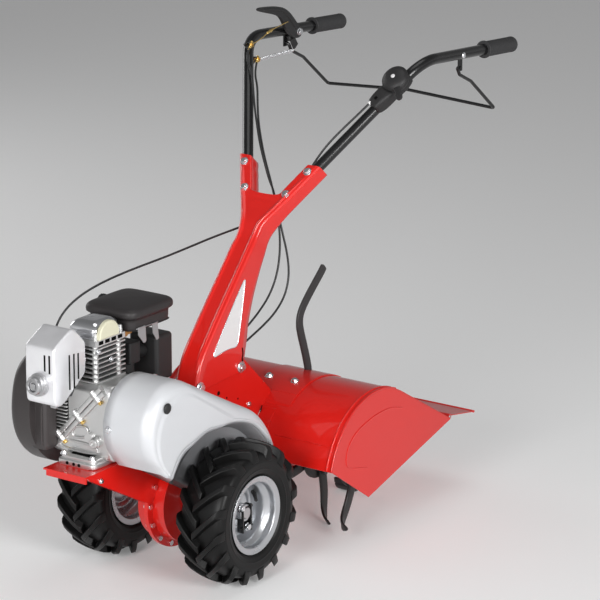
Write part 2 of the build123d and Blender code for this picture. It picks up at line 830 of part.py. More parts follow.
def valve_cover():
    half_x = cylinder_length / 2 - 5
    half_y = cylinder_width / 2 - 4
    cover = block(-half_x, half_x, -half_y, half_y, cylinder_top, cylinder_top + valve_cover_height)
    cover = fillet(cover.edges().filter_by(Axis.Z), 20)
    cover = fillet(cover.faces().sort_by(Axis.Z)[-1].edges(), 18)
    hollow = block(-half_x + 18, half_x - 18, -half_y + 18, half_y - 18, cylinder_top - 1,
                   cylinder_top + valve_cover_height - 16)
    return Pos(cylinder_x, cylinder_y, 0) * (cover - hollow)


def cam_cover():
    left = cylinder_y + cylinder_width / 2 - 4
    face = disc(cylinder_x + 9, cylinder_top + 6, cam_cover_r, left, left + 10)
    face = face - block(cylinder_x - 100, cylinder_x + 100, left - 1, left + 20, 0, cylinder_top + 1)
    return fillet(face.faces().sort_by(Axis.Y)[-1].edges(), 3)


def muffler_outline(inset):
    rear = cylinder_front + muffler_gap
    shape = outline((rear, 612), (rear + 66, 612), (rear + 88, 590), (rear + 109, 506), (rear + 96, 468),
                    (rear + 12, 462), (rear, 478))
    return offset(fillet(shape.vertices(), 10), amount=-inset) if inset else fillet(shape.vertices(), 10)


# Both end faces along Y get a rounded edge
def rounded_sides(body, radius):
    ends = body.faces().sort_by(Axis.Y)
    return fillet(ends[-1].edges() + ends[0].edges(), radius)


def muffler_cover():
    body = slab(muffler_outline(0), muffler_right, muffler_left)
    hollow = slab(muffler_outline(muffler_wall), muffler_right + muffler_wall, muffler_left - muffler_wall)
    body = rounded_sides(body, 8) - rounded_sides(hollow, 6)
    rear = cylinder_front + muffler_gap
    for x in (26, 42, 58):
        body = body - block(rear + x, rear + x + 6, muffler_left - 6, muffler_left + 1, 500, 580)
    for y in (-34, -22):
        body = body - block(rear + 70, rear + 120, muffler_left + y, muffler_left + y + 6, 530, 575)
    y, z = outlet_place()
    body = body - rod((rear + 60, y, z), (rear + 130, y, z), outlet_r - 4 + close)
    port_y = (muffler_left + muffler_right) / 2
    return body - rod((rear - 5, port_y, 560), (rear + 5, port_y, 560), 14 + close)


def outlet_place():
    return (muffler_left + muffler_right) / 2 + 10, 516


def muffler():
    rear = cylinder_front
    inset = muffler_wall + 6
    can = slab(muffler_outline(inset), muffler_right + inset, muffler_left - inset)
    y, z = outlet_place()
    spout = rod((rear + outlet_reach - 48, y, z), (rear + outlet_reach - 2, y, z), outlet_r - 4)
    ring = rod((rear + outlet_reach - 8.5, y, z), (rear + outlet_reach, y, z), outlet_r)
    hole = rod((rear + outlet_reach - 28, y, z), (rear + outlet_reach + 12, y, z), outlet_r - 7)
    port_y = (muffler_left + muffler_right) / 2
    port = rod((rear, port_y, 560), (rear + 60, port_y, 560), 14)
    flange = rod((rear, port_y, 560), (rear + 8, port_y, 560), 24)
    return can + spout + ring + port + flange - hole


def fan_housing():
    left = crankcase_right
    body = disc(crank_x, crank_z, fan_r, fan_right, left)
    body = fillet(body.faces().sort_by(Axis.Y)[0].edges(), 18)
    neck = block(tank_rear + 34, tank_front - 22, tank_right - 35, tank_right + 40, crank_z + 60, tank_bottom)
    neck = fillet(neck.edges().filter_by(Axis.Z), 14)
    body = body + neck
    inside = disc(crank_x, crank_z, fan_r - fan_wall, fan_right + fan_wall, left + 1)
    inside = fillet(inside.faces().sort_by(Axis.Y)[0].edges(), 18 - fan_wall)
    wall = slab(Pos(crank_x, crank_z) * (Circle(fan_r) - Circle(bore_r + 24)), left - fan_wall, left)
    body = body - inside + wall
    body = body - disc(crank_x, crank_z, recoil_r - 14, fan_right - 1, fan_right + fan_wall + 1)
    body = body + cable_stop(throttle_route[-1], throttle_route[-2], 24, stop_r + 1) - inside
    half = crankcase_length / 2 + 1
    return body - block(crank_x - half, crank_x + half, left, tank_right + 40, carrier_top, crankcase_top + 1)


def recoil_cover():
    cover = disc(crank_x, crank_z, recoil_r, fan_right - recoil_depth, fan_right)
    cover = fillet(cover.faces().sort_by(Axis.Y)[0].edges(), 12)
    cover = cover - disc(crank_x, crank_z, recoil_r - 14, fan_right - recoil_depth + 4, fan_right + 1)
    for step in range(12):
        turn = Rot(0, 30 * step, 0)
        slot = Pos(46, fan_right - recoil_depth, 0) * Box(26, 20, 6)
        cover = cover - Pos(crank_x, 0, crank_z) * (turn * slot)
    x, y = rope_place()
    return cover - rod((x, y, crank_z), (x, y, crank_z + 200), 2.5)


def rope_place():
    return crank_x - 58, fan_right - recoil_depth / 2


def starter_grip():
    x, y = rope_place()
    seat = crank_z + recoil_r
    rope = rod((x, y, crank_z - 30), (x, y, seat + 8), 2)
    handle = rod((x - 38, y, seat + 14), (x + 38, y, seat + 14), 9)
    collar = rod((x, y, seat), (x, y, seat + 8), 7)
    return rope + fillet(handle.edges(), 4) + collar


def crankshaft():
    shaft = disc(crank_x, crank_z, crank_r, fan_right + 14, belt_y + pulley_half_width + 6)
    for y in (split_y - 30, split_y + 30 - crank_web):
        shaft = shaft + disc(crank_x, crank_z, crank_web_r, y, y + crank_web)
    return shaft


def flywheel():
    left = crankcase_right - 12
    right = fan_right + 22
    wheel = tube(crank_x, crank_z, flywheel_r, crank_r + running, left - 12, left)
    wheel = wheel + tube(crank_x, crank_z, 30, crank_r + running, right, left)
    for step in range(12):
        fin = Pos(64, (right + left - 12) / 2, 0) * Box(46, left - 12 - right, 4)
        wheel = wheel + Pos(crank_x, 0, crank_z) * (Rot(0, 30 * step, 0) * fin)
    return wheel


def fuel_tank():
    tank = block(tank_rear, tank_front, tank_right, tank_left, tank_bottom, tank_top)
    tank = fillet(tank.edges().filter_by(Axis.Z), 22)
    tank = fillet(tank.faces().sort_by(Axis.Z)[-1].edges(), 20)
    tank = chamfer(tank.faces().sort_by(Axis.Z)[0].edges(), 10)
    inner = block(tank_rear + 14, tank_front - 14, tank_right + 14, tank_left - 14,
                  tank_bottom + tank_wall, tank_top - 12)
    plane = cap_plane()
    neck = extrude(plane * Circle(cap_r - 5), amount=6) + extrude(plane * Circle(cap_r - 5), amount=-10)
    return tank + neck - inner - extrude(plane * Circle(cap_r - 9), amount=40, both=True)


def cap_plane():
    return Plane(origin=((tank_rear + tank_front) / 2, tank_right, tank_bottom + 26), z_dir=(0, -1, 0))


def fuel_cap():
    plane = cap_plane()
    cap = extrude(plane.offset(6 + air) * Circle(cap_r), amount=12)
    cap = cap + extrude(plane.offset(1) * (Circle(cap_r) - Circle(cap_r - 5 + air)), amount=6)
    for step in range(12):
        grip = Pos(cap_r, 0) * Circle(2.5)
        cap = cap + extrude(plane.offset(1) * (Rot(0, 0, 30 * step) * grip), amount=17 + air)
    return cap


def carburettor():
    rear_face = cylinder_rear
    y = cylinder_y + 6
    pipe = rod((rear_face, y, 540), (cleaner_front, y, 510), 15)
    half = carburettor_length / 2
    body = block(carburettor_x - half, carburettor_x + half, y - 24, y + 28, 498, 548)
    bowl = Pos(carburettor_x + 1, y, 486) * Cylinder(bowl_r, 26)
    flange = block(rear_face - 6, rear_face, y - 28, y + 28, 520, 560)
    whole = pipe + fillet(body.edges(), 4) + bowl + flange
    whole = whole - block(rear_face, rear_face + 100, y - 60, y + 60, 440, 600)
    return whole - block(cleaner_front - 100, cleaner_front, y - 60, y + 60, 440, 600)


def air_cleaner():
    y = cylinder_y + 9
    box = block(cleaner_front - 60, cleaner_front, y - 40, y + 40, 440, 548)
    return fillet(box.edges(), 9)


def spark_plug():
    rear_face = cylinder_rear
    y = cylinder_y + 32
    body = rod((rear_face, y, cylinder_top - 11), (rear_face - 16, y, cylinder_top - 11), 8)
    return body + rod((rear_face - 16, y, cylinder_top - 11), (rear_face - 34, y, cylinder_top - 11), 5)


# Belt drive
def pulley(x, z, radius, bore):
    half = pulley_half_width
    groove = belt_width / 2 + air
    floor = radius - belt_thick - 1 - air
    section = band(bore + running, radius, belt_y - half, belt_y + half)
    section = section - band(floor, radius + 1, belt_y - groove, belt_y + groove)
    return turned(section, x, z)


def drive_belt():
    outer = hull((crank_x, crank_z, engine_pulley_r - 1), (input_x, input_z, driven_pulley_r - 1))
    inner = hull((crank_x, crank_z, engine_pulley_r - 1 - belt_thick),
                 (input_x, input_z, driven_pulley_r - 1 - belt_thick))
    return slab(outer - inner, belt_y - belt_width / 2, belt_y + belt_width / 2)


# The slack lower run of the belt: the direction square to it and the middle of its inner face
def slack_run():
    span_x = input_x - crank_x
    span_z = input_z - crank_z
    span = hypot(span_x, span_z)
    lean = asin((driven_pulley_r - engine_pulley_r) / span)
    along = (span_x / span, span_z / span)
    square = (-along[1] * cos(lean) - along[0] * sin(lean), along[0] * cos(lean) - along[1] * sin(lean))
    small = engine_pulley_r - 1 - belt_thick
    large = driven_pulley_r - 1 - belt_thick
    start = (crank_x + square[0] * small, crank_z + square[1] * small)
    end = (input_x + square[0] * large, input_z + square[1] * large)
    return square, ((start[0] + end[0]) / 2, (start[1] + end[1]) / 2)


def idler_place():
    square, middle = slack_run()
    back = idler_r + idler_gap
    return middle[0] - square[0] * back, middle[1] - square[1] * back


def tension_pivot():
    square = slack_run()[0]
    x, z = idler_place()
    return x + square[1] * tension_arm, z - square[0] * tension_arm


def tension_arm_piece():
    px, pz = tension_pivot()
    x, z = idler_place()
    plate = bar([(px, pz), (x, z)], 18)
    low = belt_y - belt_width / 2 - 13
    arm = slab(plate, low, low + 5)
    idler = disc(x, z, idler_r, low + 5, belt_y + belt_width / 2)
    return arm + idler - disc(px, pz, 5 + running, low - 1, low + 10)


def guard_outline(grow, arch_grow):
    shape = hull((crank_x, crank_z, guard_drum_r + grow), (guard_tail_x, guard_tail_z, guard_tail_r + grow))
    return shape - Pos(0, axle_z) * Circle(arch_r + arch_grow)


def guard_inner(grow):
    return hull((crank_x, crank_z, guard_drum_r - 4 + grow), (input_x, input_z, guard_inner_r + grow))


# The face's outer edge is rounded, the edge at the wheel arch stays sharp
def rounded_face(body, radius):
    edges = body.faces().sort_by(Axis.Y)[-1].edges().filter_by(GeomType.LINE)
    return fillet(edges, radius)


def belt_guard():
    outer = rounded_face(slab(guard_outline(0, 0), guard_rim_y, guard_face_y), guard_edge_r)
    body = outer + slab(guard_inner(0), guard_rim_y, guard_inner_y)
    sheet = guard_sheet
    hollow = slab(guard_outline(-sheet, sheet), guard_rim_y - 1, guard_face_y - sheet)
    hollow = rounded_face(hollow, guard_edge_r - sheet)
    body = body - hollow - slab(guard_inner(-sheet), guard_rim_y - 1, guard_inner_y - sheet)
    body = body - slab(case_outline(1), 0, case_half_width + 1)
    body = body - disc(0, axle_z, axle_r + bearing_lip + 6, 0, case_half_width + bearing_width + 1)
    return body - disc(plug_x, plug_z, plug_r, guard_face_y - 10, guard_face_y + 10)


def back_plate():
    plate = slab(guard_inner(-guard_sheet - close), guard_rim_y - guard_sheet, guard_rim_y)
    plate = plate - slab(case_outline(1), 0, 60)
    plate = plate - disc(input_x, input_z, case_input_r + 6, 0, 60)
    plate = plate - disc(crank_x, crank_z, crank_r + 4, 0, 60)
    plate = plate.solids().sort_by(SortBy.VOLUME)[-1]
    px, pz = tension_pivot()
    low = belt_y - belt_width / 2 - 13
    stud = disc(px, pz, 9, guard_rim_y - 1, low - air) + disc(px, pz, 5, low - 1, low + 6)
    return plate + stud


# Column: a pressed channel, open at the back, with a fork that holds the two handle tubes
def column_side():
    front = ThreePointArc(column_base_front, column_mid_front, column_waist_front)
    lean = radians(fork_lean)
    top_front = (fork_x + fork_root * sin(lean), fork_z - fork_root * cos(lean))
    edges = front + Line(column_waist_front, top_front)
    edges = edges + Line(top_front, column_waist_rear) + Line(column_waist_rear, column_mid_rear)
    edges = edges + Line(column_mid_rear, column_base_rear) + Line(column_base_rear, column_base_front)
    return upright(make_face(edges))


def fork_outline(inset):
    half_arm = arm_width / 2 - inset
    pieces = None
    for side in (1, -1):
        mid = (side * fork_low_bolt[0], fork_low_bolt[1])
        lean = (fork_high_bolt[0] - fork_low_bolt[0], fork_high_bolt[1] - fork_low_bolt[1])
        length = hypot(*lean)
        extra = 22 + (2 * column_sheet if inset else 0)
        high = (side * (fork_high_bolt[0] + lean[0] / length * extra),
                fork_high_bolt[1] + lean[1] / length * extra)
        square = (lean[1] / length * half_arm, lean[0] / length * half_arm)
        inner_mid = (mid[0] - side * square[0], mid[1] + square[1])
        outer_mid = (mid[0] + side * square[0], mid[1] - square[1])
        inner_high = (high[0] - side * square[0], high[1] + square[1])
        outer_high = (high[0] + side * square[0], high[1] - square[1])
        arm = outline(inner_mid, inner_high, outer_high, outer_mid)
        web = outline((0, -112), (side * (column_half - inset), -112), outer_mid, inner_mid,
                      (0, mid[1] - 2 - inset))
        pieces = arm + web if pieces is None else pieces + arm + web
    return pieces


def column():
    outer = slab(column_side(), -column_half, column_half)
    fork = extrude(fork_plane * fork_outline(0), amount=fork_depth, dir=-fork_plane.z_dir)
    sheet = column_sheet
    inner_side = Pos(-sheet * 1.25, -sheet * 0.2) * column_side() + Pos(-60, 0) * column_side()
    inner = slab(inner_side, -column_half + sheet, column_half - sheet)
    inner_fork = extrude(fork_plane.offset(-sheet) * fork_outline(sheet), amount=fork_depth + 20,
                         dir=-fork_plane.z_dir)
    shell = outer + fork - inner - inner_fork
    shell = shell - block(-300, 0, -column_half + sheet, column_half - sheet, 380, 470)
    for plane in column_base_planes():
        shell = shell - bolt_hole(plane, 10)
    for plane in fork_bolt_planes():
        shell = shell - bolt_hole(plane, 10)
    return shell


def column_base_planes():
    planes = []
    for side in (1, -1):
        for x, z in ((-62, 432), (-212, 445)):
            planes.append(Plane(origin=(x, side * column_half, z), z_dir=(0, side, 0)))
    return planes


def fork_bolt_planes():
    planes = []
    for side in (1, -1):
        for along, up in (fork_low_bolt, fork_high_bolt):
            spot = fork_plane * Pos(side * along, up, 0)
            planes.append(Plane(origin=spot.position, z_dir=fork_normal))
    return planes


def frame_bolts():
    bolts = [bolt(plane, 2 * column_sheet + close) for plane in column_base_planes()]
    bolts = bolts + [bolt(plane, column_sheet) for plane in fork_bolt_planes()]
    bolts = bolts + [bolt(plane, saddle_sheet + 2 * close + hood_sheet) for plane in hood_bolt_planes()]
    return Compound(children=bolts + [bolt(plane, carrier_sheet) for plane in carrier_bolt_planes()])


# Handle: each tube starts in its fork arm, bends once and runs back level to the grip
def tube_start():
    lean = Vector(fork_high_bolt[0] - fork_low_bolt[0], fork_high_bolt[1] - fork_low_bolt[1], 0).normalized()
    place = Vector(fork_low_bolt[0], fork_low_bolt[1], -tube_drop) - lean * 24
    return Vector(*(fork_plane * Pos(place.X, place.Y, place.Z)).position)


def tube_path():
    return FilletPolyline(tube_start(), handle_corner, handle_end(1.0), radius=tube_bend_r)


def handle_end(short):
    back = (Vector(*handle_tip) - Vector(*handle_corner)).normalized()
    return Vector(*handle_tip) - back * (short + grip_end)


def handle_direction():
    return (Vector(*handle_tip) - Vector(*handle_corner)).normalized()


def tube_solid(radius):
    start = tube_start()
    return sweep(Plane(origin=start, z_dir=Vector(*handle_corner) - start) * Circle(radius), path=tube_path())


def handle_tube():
    start = tube_start()
    ring = Circle(tube_r) - Circle(tube_r - tube_wall)
    pipe = sweep(Plane(origin=start, z_dir=Vector(*handle_corner) - start) * ring, path=tube_path())
    x, z = bail_pivot
    y = bail_y + bail_r + 3
    tab = block(x - 8, x + 8, y, y + bail_tab, z - 8, z + 22)
    tab = tab - disc(x, z, bail_r + running, y - 1, y + bail_tab + 1)
    return pipe + (tab - tube_solid(tube_r - 0.5))


def grip():
    along = handle_direction()
    tip = Vector(*handle_tip)
    start = tip - along * grip_length
    body = extrude(Plane(origin=start, z_dir=along) * Circle(grip_r), amount=grip_length)
    body = fillet(body.edges(), grip_round)
    bore = extrude(Plane(origin=start, z_dir=along) * Circle(tube_r + running), amount=grip_length - grip_end)
    return body - bore


# Clutch bail: one bent rod, its ends turned out into the tabs under the tubes
def bail():
    x, z = bail_corner
    half = [bail_pivot, bail_jog, bail_elbow, bail_corner]
    left = [(px, bail_y, pz) for px, pz in half]
    middle = (x + 0.6 * bail_peak, 0, z + bail_peak)
    stub = (bail_pivot[0], bail_y + bail_r + bail_tab + 5, bail_pivot[1])
    half_loop = [stub] + left
    points = half_loop + [middle] + [(a, -b, c) for a, b, c in reversed(half_loop)]
    path = FilletPolyline(*points, radius=7)
    start = Plane(origin=stub, z_dir=(0, -1, 0))
    return sweep(start * Circle(bail_r), path=path)


# Height of the level part of the handle tube at a place along X
def tube_height(x):
    share = (x - handle_corner[0]) / (handle_tip[0] - handle_corner[0])
    return handle_corner[2] + share * (handle_tip[2] - handle_corner[2])


# Reverse lever: a flat blade on a pivot bolt in a clamp round the right-hand tube
def reverse_lever():
    half = hand_lever_thick / 2
    pivot = (hand_lever_x, tube_height(hand_lever_x))
    hub = Pos(*pivot) * Circle(17)
    arm = bar([pivot, hand_lever_knee], 18) + bar([hand_lever_knee, hand_lever_tip], 15) + hub
    blade_plate = slab(arm, hand_lever_y - half, hand_lever_y + half)
    return blade_plate - disc(*pivot, 4 + running, -400, 0)


# Cable bracket: a plate welded to the right-hand tube with two adjuster barrels
def cable_bracket():
    first = reverse_route[0]
    second = clutch_route[0]
    y = first[1]
    plate = outline((first[0] + 14, first[2] - 38), (first[0] - 2, first[2] + 8),
                    (first[0] - 22, first[2] + 12), (first[0] - 30, first[2] - 4), (second[0] - 26, second[2] + 8),
                    (second[0] - 24, second[2] - 12), (second[0] + 2, second[2] - 14))
    body = slab(plate, y - 3, y)
    for route in (reverse_route, clutch_route):
        barrel = cable_stop(route[0], route[1], 26, stop_r)
        nut_at = tuple(Vector(*route[0]) + (Vector(*route[0]) - Vector(*route[1])).normalized() * 8)
        nut = cable_stop(nut_at, route[1], 9, stop_r + 3)
        body = body + barrel + nut - rod(route[0], route[1], cable_r + 1)
    return body - other_side(tube_solid(tube_r + close))


def lever_clamp():
    x = hand_lever_x
    z = tube_height(x)
    along = handle_direction()
    middle = Vector(x, -handle_tip[1], z)
    back = Vector(along.X, -along.Y, along.Z)
    section = Circle(tube_r + 5) - Circle(tube_r + close)
    ring = extrude(Plane(origin=middle - back * 13, z_dir=back) * section, amount=26)
    face = hand_lever_y - hand_lever_thick / 2 - air
    ring = ring - block(x - 60, x + 60, face, 0, z - 60, z + 60)
    pin_start = -handle_tip[1] + tube_r + 1
    pin = disc(x, z, 4, pin_start, hand_lever_y + hand_lever_thick / 2 + air)
    head_at = hand_lever_y + hand_lever_thick / 2 + air
    head = disc(x, z, 9, head_at, head_at + 5)
    return Compound(children=[ring + pin + head, cable_bracket()])


# Throttle: a clamp and a round housing on the left tube, with a thumb lever turning on its top
def throttle_plane():
    start = tube_start()
    along = Vector(*handle_corner) - start
    spot = start + along * throttle_at
    return Plane(origin=spot, x_dir=along.normalized(), z_dir=fork_normal)


def throttle_housing():
    plane = throttle_plane()
    along = (Vector(*handle_corner) - tube_start()).normalized()
    clamp_ring = rod(tuple(plane.origin - along * 34), tuple(plane.origin + along * 20), tube_r + 6)
    bore = rod(tuple(plane.origin - along * 80), tuple(plane.origin + along * 80), tube_r + running)
    seat = extrude(plane.offset(tube_r - 4) * Circle(throttle_r - 3), amount=throttle_rise - tube_r + 4)
    mouth = plane * (Pos(-44, 0, tube_r + 4) * Box(34, 24, 16))
    barrel = cable_stop(throttle_route[0], throttle_route[1], 22, stop_r)
    room = rod(throttle_route[0], throttle_route[1], cable_r + 1)
    return clamp_ring + seat + fillet(mouth.edges(), 3) + barrel - bore - room


def throttle_lever():
    plane = throttle_plane().offset(throttle_rise + air)
    cap = extrude(plane * Circle(throttle_r), amount=12)
    cap = fillet(cap.faces().sort_by(Axis(plane.origin, plane.z_dir))[-1].edges(), 6)
    thumb = plane * (Pos(10, -throttle_r - 8, 3) * Box(12, 26, 6))
    return cap + fillet(thumb.edges().filter_by(Axis(plane.origin, plane.z_dir)), 4)


nodes = {
    "engine_carrier": engine_carrier(),
    "gearcase_left": case_half(),
    "gearcase_right": other_side(case_half()),
    "ball_bearings": ball_bearings(),
    "case_bolts": Compound(children=flange_bolts() + crankcase_bolts()),
    "drive_chains": Compound(children=[chain(0, axle_z, axle_teeth, chain_offset),
                                       chain(rotor_x, rotor_z, tine_teeth, -chain_offset)]),
    "neck_frame": neck_frame(),
    "hood_shell": hood_shell(),
    "hood_end_left": hood_end(),
    "hood_end_right": other_side(hood_end()),
    "depth_bracket": depth_bracket(),
    "hinge_pins": hinge_pins(),
    "frame_bolts": frame_bolts(),
    "rear_flap": rear_flap(),
    "depth_lever": depth_lever(),
    "tine_shaft": tine_shaft(),
    "tine_rotors": both(tine_rotor()),
    "wheel_axle": wheel_axle(),
    "tyre_left": tyre(),
    "tyre_right": other_side(tyre()),
    "rim_left": rim(),
    "rim_right": other_side(rim()),
    "hub_locks": both(hub_lock()),
    "input_shaft": input_shaft(),
    "driven_pulley": pulley(input_x, input_z, driven_pulley_r, input_r),
    "engine_pulley": pulley(crank_x, crank_z, engine_pulley_r, crank_r),
    "drive_belt": drive_belt(),
    "tension_arm": tension_arm_piece(),
    "back_plate": back_plate(),
    "belt_guard": belt_guard(),
    "crankcase_lower": split(crankcase(), bisect_by=crankcase_split(), keep=Keep.BOTTOM),
    "crankcase_upper": split(crankcase(), bisect_by=crankcase_split(), keep=Keep.TOP),
    "cylinder": cylinder_block(),
    "valve_cover": valve_cover(),
    "cam_cover": cam_cover(),
    "muffler": muffler(),
    "muffler_cover": muffler_cover(),
    "fan_housing": fan_housing(),
    "recoil_cover": recoil_cover(),
    "starter_grip": starter_grip(),
    "crankshaft": crankshaft(),
    "flywheel": flywheel(),
    "fuel_tank": fuel_tank(),
    "fuel_cap": fuel_cap(),
    "carburettor": carburettor(),
    "air_cleaner": air_cleaner(),
    "spark_plug": spark_plug(),
    "column": column(),
    "handle_tube_left": handle_tube(),
    "handle_tube_right": other_side(handle_tube()),
    "grip_left": grip(),
    "grip_right": other_side(grip()),
    "bail": bail(),
    "reverse_lever": reverse_lever(),
    "lever_clamp": lever_clamp(),
    "throttle_cable": cable("throttle_cable", throttle_route),
    "reverse_cable": cable("reverse_cable", reverse_route),
    "clutch_cable": cable("clutch_cable", clutch_route),
    "throttle_housing": throttle_housing(),
    "throttle_lever": throttle_lever(),
}

os.makedirs("parts", exist_ok=True)
for name, shape in nodes.items():
    export_step(Pos(axle_x, 0, wheel_r - axle_z) * shape, f"parts/{name}.step")
print(len(nodes), "nodes")
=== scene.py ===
import bmesh
import bpy
import json
import numpy as np
from math import cos, hypot, pi, radians, sin
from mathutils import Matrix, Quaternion, Vector


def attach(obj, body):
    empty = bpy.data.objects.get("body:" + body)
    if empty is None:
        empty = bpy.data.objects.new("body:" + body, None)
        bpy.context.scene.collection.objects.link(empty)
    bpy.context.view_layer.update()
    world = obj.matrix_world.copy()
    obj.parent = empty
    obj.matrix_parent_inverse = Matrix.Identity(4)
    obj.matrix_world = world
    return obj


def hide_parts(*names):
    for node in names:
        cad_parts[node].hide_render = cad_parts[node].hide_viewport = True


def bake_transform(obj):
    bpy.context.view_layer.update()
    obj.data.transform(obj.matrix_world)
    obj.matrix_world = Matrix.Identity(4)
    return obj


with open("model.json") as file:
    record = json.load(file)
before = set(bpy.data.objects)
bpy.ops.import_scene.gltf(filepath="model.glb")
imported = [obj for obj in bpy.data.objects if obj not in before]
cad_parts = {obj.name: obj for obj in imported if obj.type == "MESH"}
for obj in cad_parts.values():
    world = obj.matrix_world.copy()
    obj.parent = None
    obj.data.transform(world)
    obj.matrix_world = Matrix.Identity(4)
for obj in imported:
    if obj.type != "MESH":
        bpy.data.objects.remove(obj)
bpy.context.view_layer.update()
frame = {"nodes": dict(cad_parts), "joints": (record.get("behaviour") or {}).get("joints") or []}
joints = {joint["name"]: joint for joint in frame["joints"]}
wheelHub = np.array(joints["wheels_spin"]["pos_m"])
axle = wheelHub * (1, 1, 0)  # on the ground under the wheel axle
axleHeight = wheelHub[2] * 1000
forward, leftward, upward = (1, 0, 0), (0, 1, 0), (0, 0, 1)
print("frame loaded")


# Shapes are drawn in millimetres from the axle's foot; this gives their places in the frame, in metres
def inFrame(points):
    return np.asarray(points, float) / 1000 + axle


def addObject(name, data):
    made = bpy.data.objects.new(name, data)
    bpy.context.scene.collection.objects.link(made)
    return made


# Camera at the photograph's place and angle
photoView = {
    "place": (5.73937, 4.18897, 2.59805),
    "azimuth": 125.293,
    "elevation": 16.04,
    "roll": 0.063,
    "lens": 193.02,
    "sensor": 36.0,
}


def addCamera(view):
    turn, rise = radians(view["azimuth"]), radians(view["elevation"])
    back = Vector((sin(turn) * cos(rise), -cos(turn) * cos(rise), sin(rise)))
    data = bpy.data.cameras.new("photoCamera")
    data.lens, data.sensor_width = view["lens"], view["sensor"]
    camera = addObject("photoCamera", data)
    camera.location = view["place"]
    camera.rotation_mode = "QUATERNION"
    aim = (-back).to_track_quat("-Z", "Y")
    camera.rotation_quaternion = aim @ Quaternion((0, 0, 1), radians(view["roll"]))
    bpy.context.scene.camera = camera


addCamera(photoView)
print("camera set")


# Nodes of the finishes
def addNode(tree, kind, **values):
    node = tree.nodes.new(kind)
    for key, value in values.items():
        if hasattr(node, key):
            setattr(node, key, value)
        else:
            node.inputs[key].default_value = value
    return node


def addMath(tree, operation, *values):
    node = addNode(tree, "ShaderNodeMath", operation=operation)
    for socket, value in zip(node.inputs, values):
        if isinstance(value, (int, float)):
            socket.default_value = value
        else:
            tree.links.new(value, socket)
    return node.outputs[0]


def noise(tree, vector, scale, detail, roughness=0.55):
    node = addNode(tree, "ShaderNodeTexNoise", Detail=detail, Roughness=roughness)
    tree.links.new(scale, node.inputs["Scale"])
    tree.links.new(vector, node.inputs["Vector"])
    return node.outputs["Fac"]


# A colour times a value, as a vector scaled by it
def dimmed(tree, colour, amount):
    node = addNode(tree, "ShaderNodeVectorMath", operation="SCALE")
    tree.links.new(colour, node.inputs[0])
    tree.links.new(amount, node.inputs["Scale"])
    return node.outputs[0]


# A node group that several finishes share: colour times one plus a noise, a roughness that follows the
# noise and a height for the bump, all drawn by a pattern that reads Object coordinates
def finishGroup(name, pattern, **measures):
    group = bpy.data.node_groups.new(name, "ShaderNodeTree")
    kinds = {1: "NodeSocketFloat", 3: "NodeSocketVector", 4: "NodeSocketColor"}
    for label, value in {"Colour": (0.5, 0.5, 0.5, 1), "Rough": 0.4, "Vary": 0.1, **measures}.items():
        socket = group.interface.new_socket(label, in_out="INPUT", socket_type=kinds[np.size(value)])
        socket.default_value = value
    for label, size in (("Colour", 4), ("Roughness", 1), ("Height", 1)):
        group.interface.new_socket(label, in_out="OUTPUT", socket_type=kinds[size])
    given = group.nodes.new("NodeGroupInput").outputs
    made = group.nodes.new("NodeGroupOutput").inputs
    place = group.nodes.new("ShaderNodeTexCoord").outputs["Object"]
    drawn, height = pattern(group, place, given)
    offset = addMath(group, "SUBTRACT", drawn, 0.5)
    gain = addMath(group, "MULTIPLY_ADD", offset, given["Mottle"], 1.0)
    group.links.new(dimmed(group, given["Colour"], gain), made["Colour"])
    group.links.new(addMath(group, "MULTIPLY_ADD", offset, given["Vary"], given["Rough"]),
                    made["Roughness"])
    group.links.new(height, made["Height"])
    return group


def clouds(group, place, given):
    # a slow noise for colour and roughness, a fine one for the height
    return noise(group, place, given["Scale"], 6.0), noise(group, place, given["Fine"], 3.0)


def streaks(group, place, given):
    # one noise for all three, drawn out along an axis where the stretch says so, as rolling leaves it
    drawn = addNode(group, "ShaderNodeVectorMath", operation="MULTIPLY")
    group.links.new(place, drawn.inputs[0])
    group.links.new(given["Stretch"], drawn.inputs[1])
    lines = noise(group, drawn.outputs[0], given["Scale"], 5.0, 0.7)
    return lines, lines


mottle = finishGroup("mottle", clouds, Scale=12.0, Mottle=0.1, Fine=600.0)
brush = finishGroup("brush", streaks, Scale=30.0, Mottle=0.15, Stretch=(1, 1, 1))


# A finish: one of the groups drives colour, roughness and bump, a small bevel rounds the edges' light.
# Bump depth and edge radius are in millimetres; the named nodes of the frame take the finish on.
def finish(name, group, colour, nodes="", metallic=0.0, bump=0.1, depth=0.2, edge=1.2, coat=0.0,
           coatRough=0.08, specular=0.5, shade="", **given):
    material = bpy.data.materials.new(name)
    material.use_nodes = True
    tree = material.node_tree
    shader = tree.nodes["Principled BSDF"].inputs
    shader["Metallic"].default_value = metallic
    shader["Coat Weight"].default_value = coat
    shader["Coat Roughness"].default_value = coatRough
    shader["Specular IOR Level"].default_value = specular
    effect = addNode(tree, "ShaderNodeGroup", node_tree=group)
    effect.inputs["Colour"].default_value = (*colour, 1)
    for key, value in given.items():
        effect.inputs[key].default_value = value
    paint = effect.outputs["Colour"]
    # a named mesh attribute scales the colour down: painted shade
    if shade:
        amount = addNode(tree, "ShaderNodeAttribute", attribute_name=shade)
        paint = dimmed(tree, paint, amount.outputs["Fac"])
    relief = addNode(tree, "ShaderNodeBump", Strength=bump, Distance=depth / 1000)
    tree.links.new(paint, shader["Base Color"])
    tree.links.new(effect.outputs["Roughness"], shader["Roughness"])
    tree.links.new(effect.outputs["Height"], relief.inputs["Height"])
    if edge:
        rounding = addNode(tree, "ShaderNodeBevel", samples=4, Radius=edge / 1000)
        tree.links.new(rounding.outputs["Normal"], relief.inputs["Normal"])
    tree.links.new(relief.outputs["Normal"], shader["Normal"])
    for node in nodes.split():
        slots = frame["nodes"][node].data.materials
        slots.clear()
        slots.append(material)
    return material


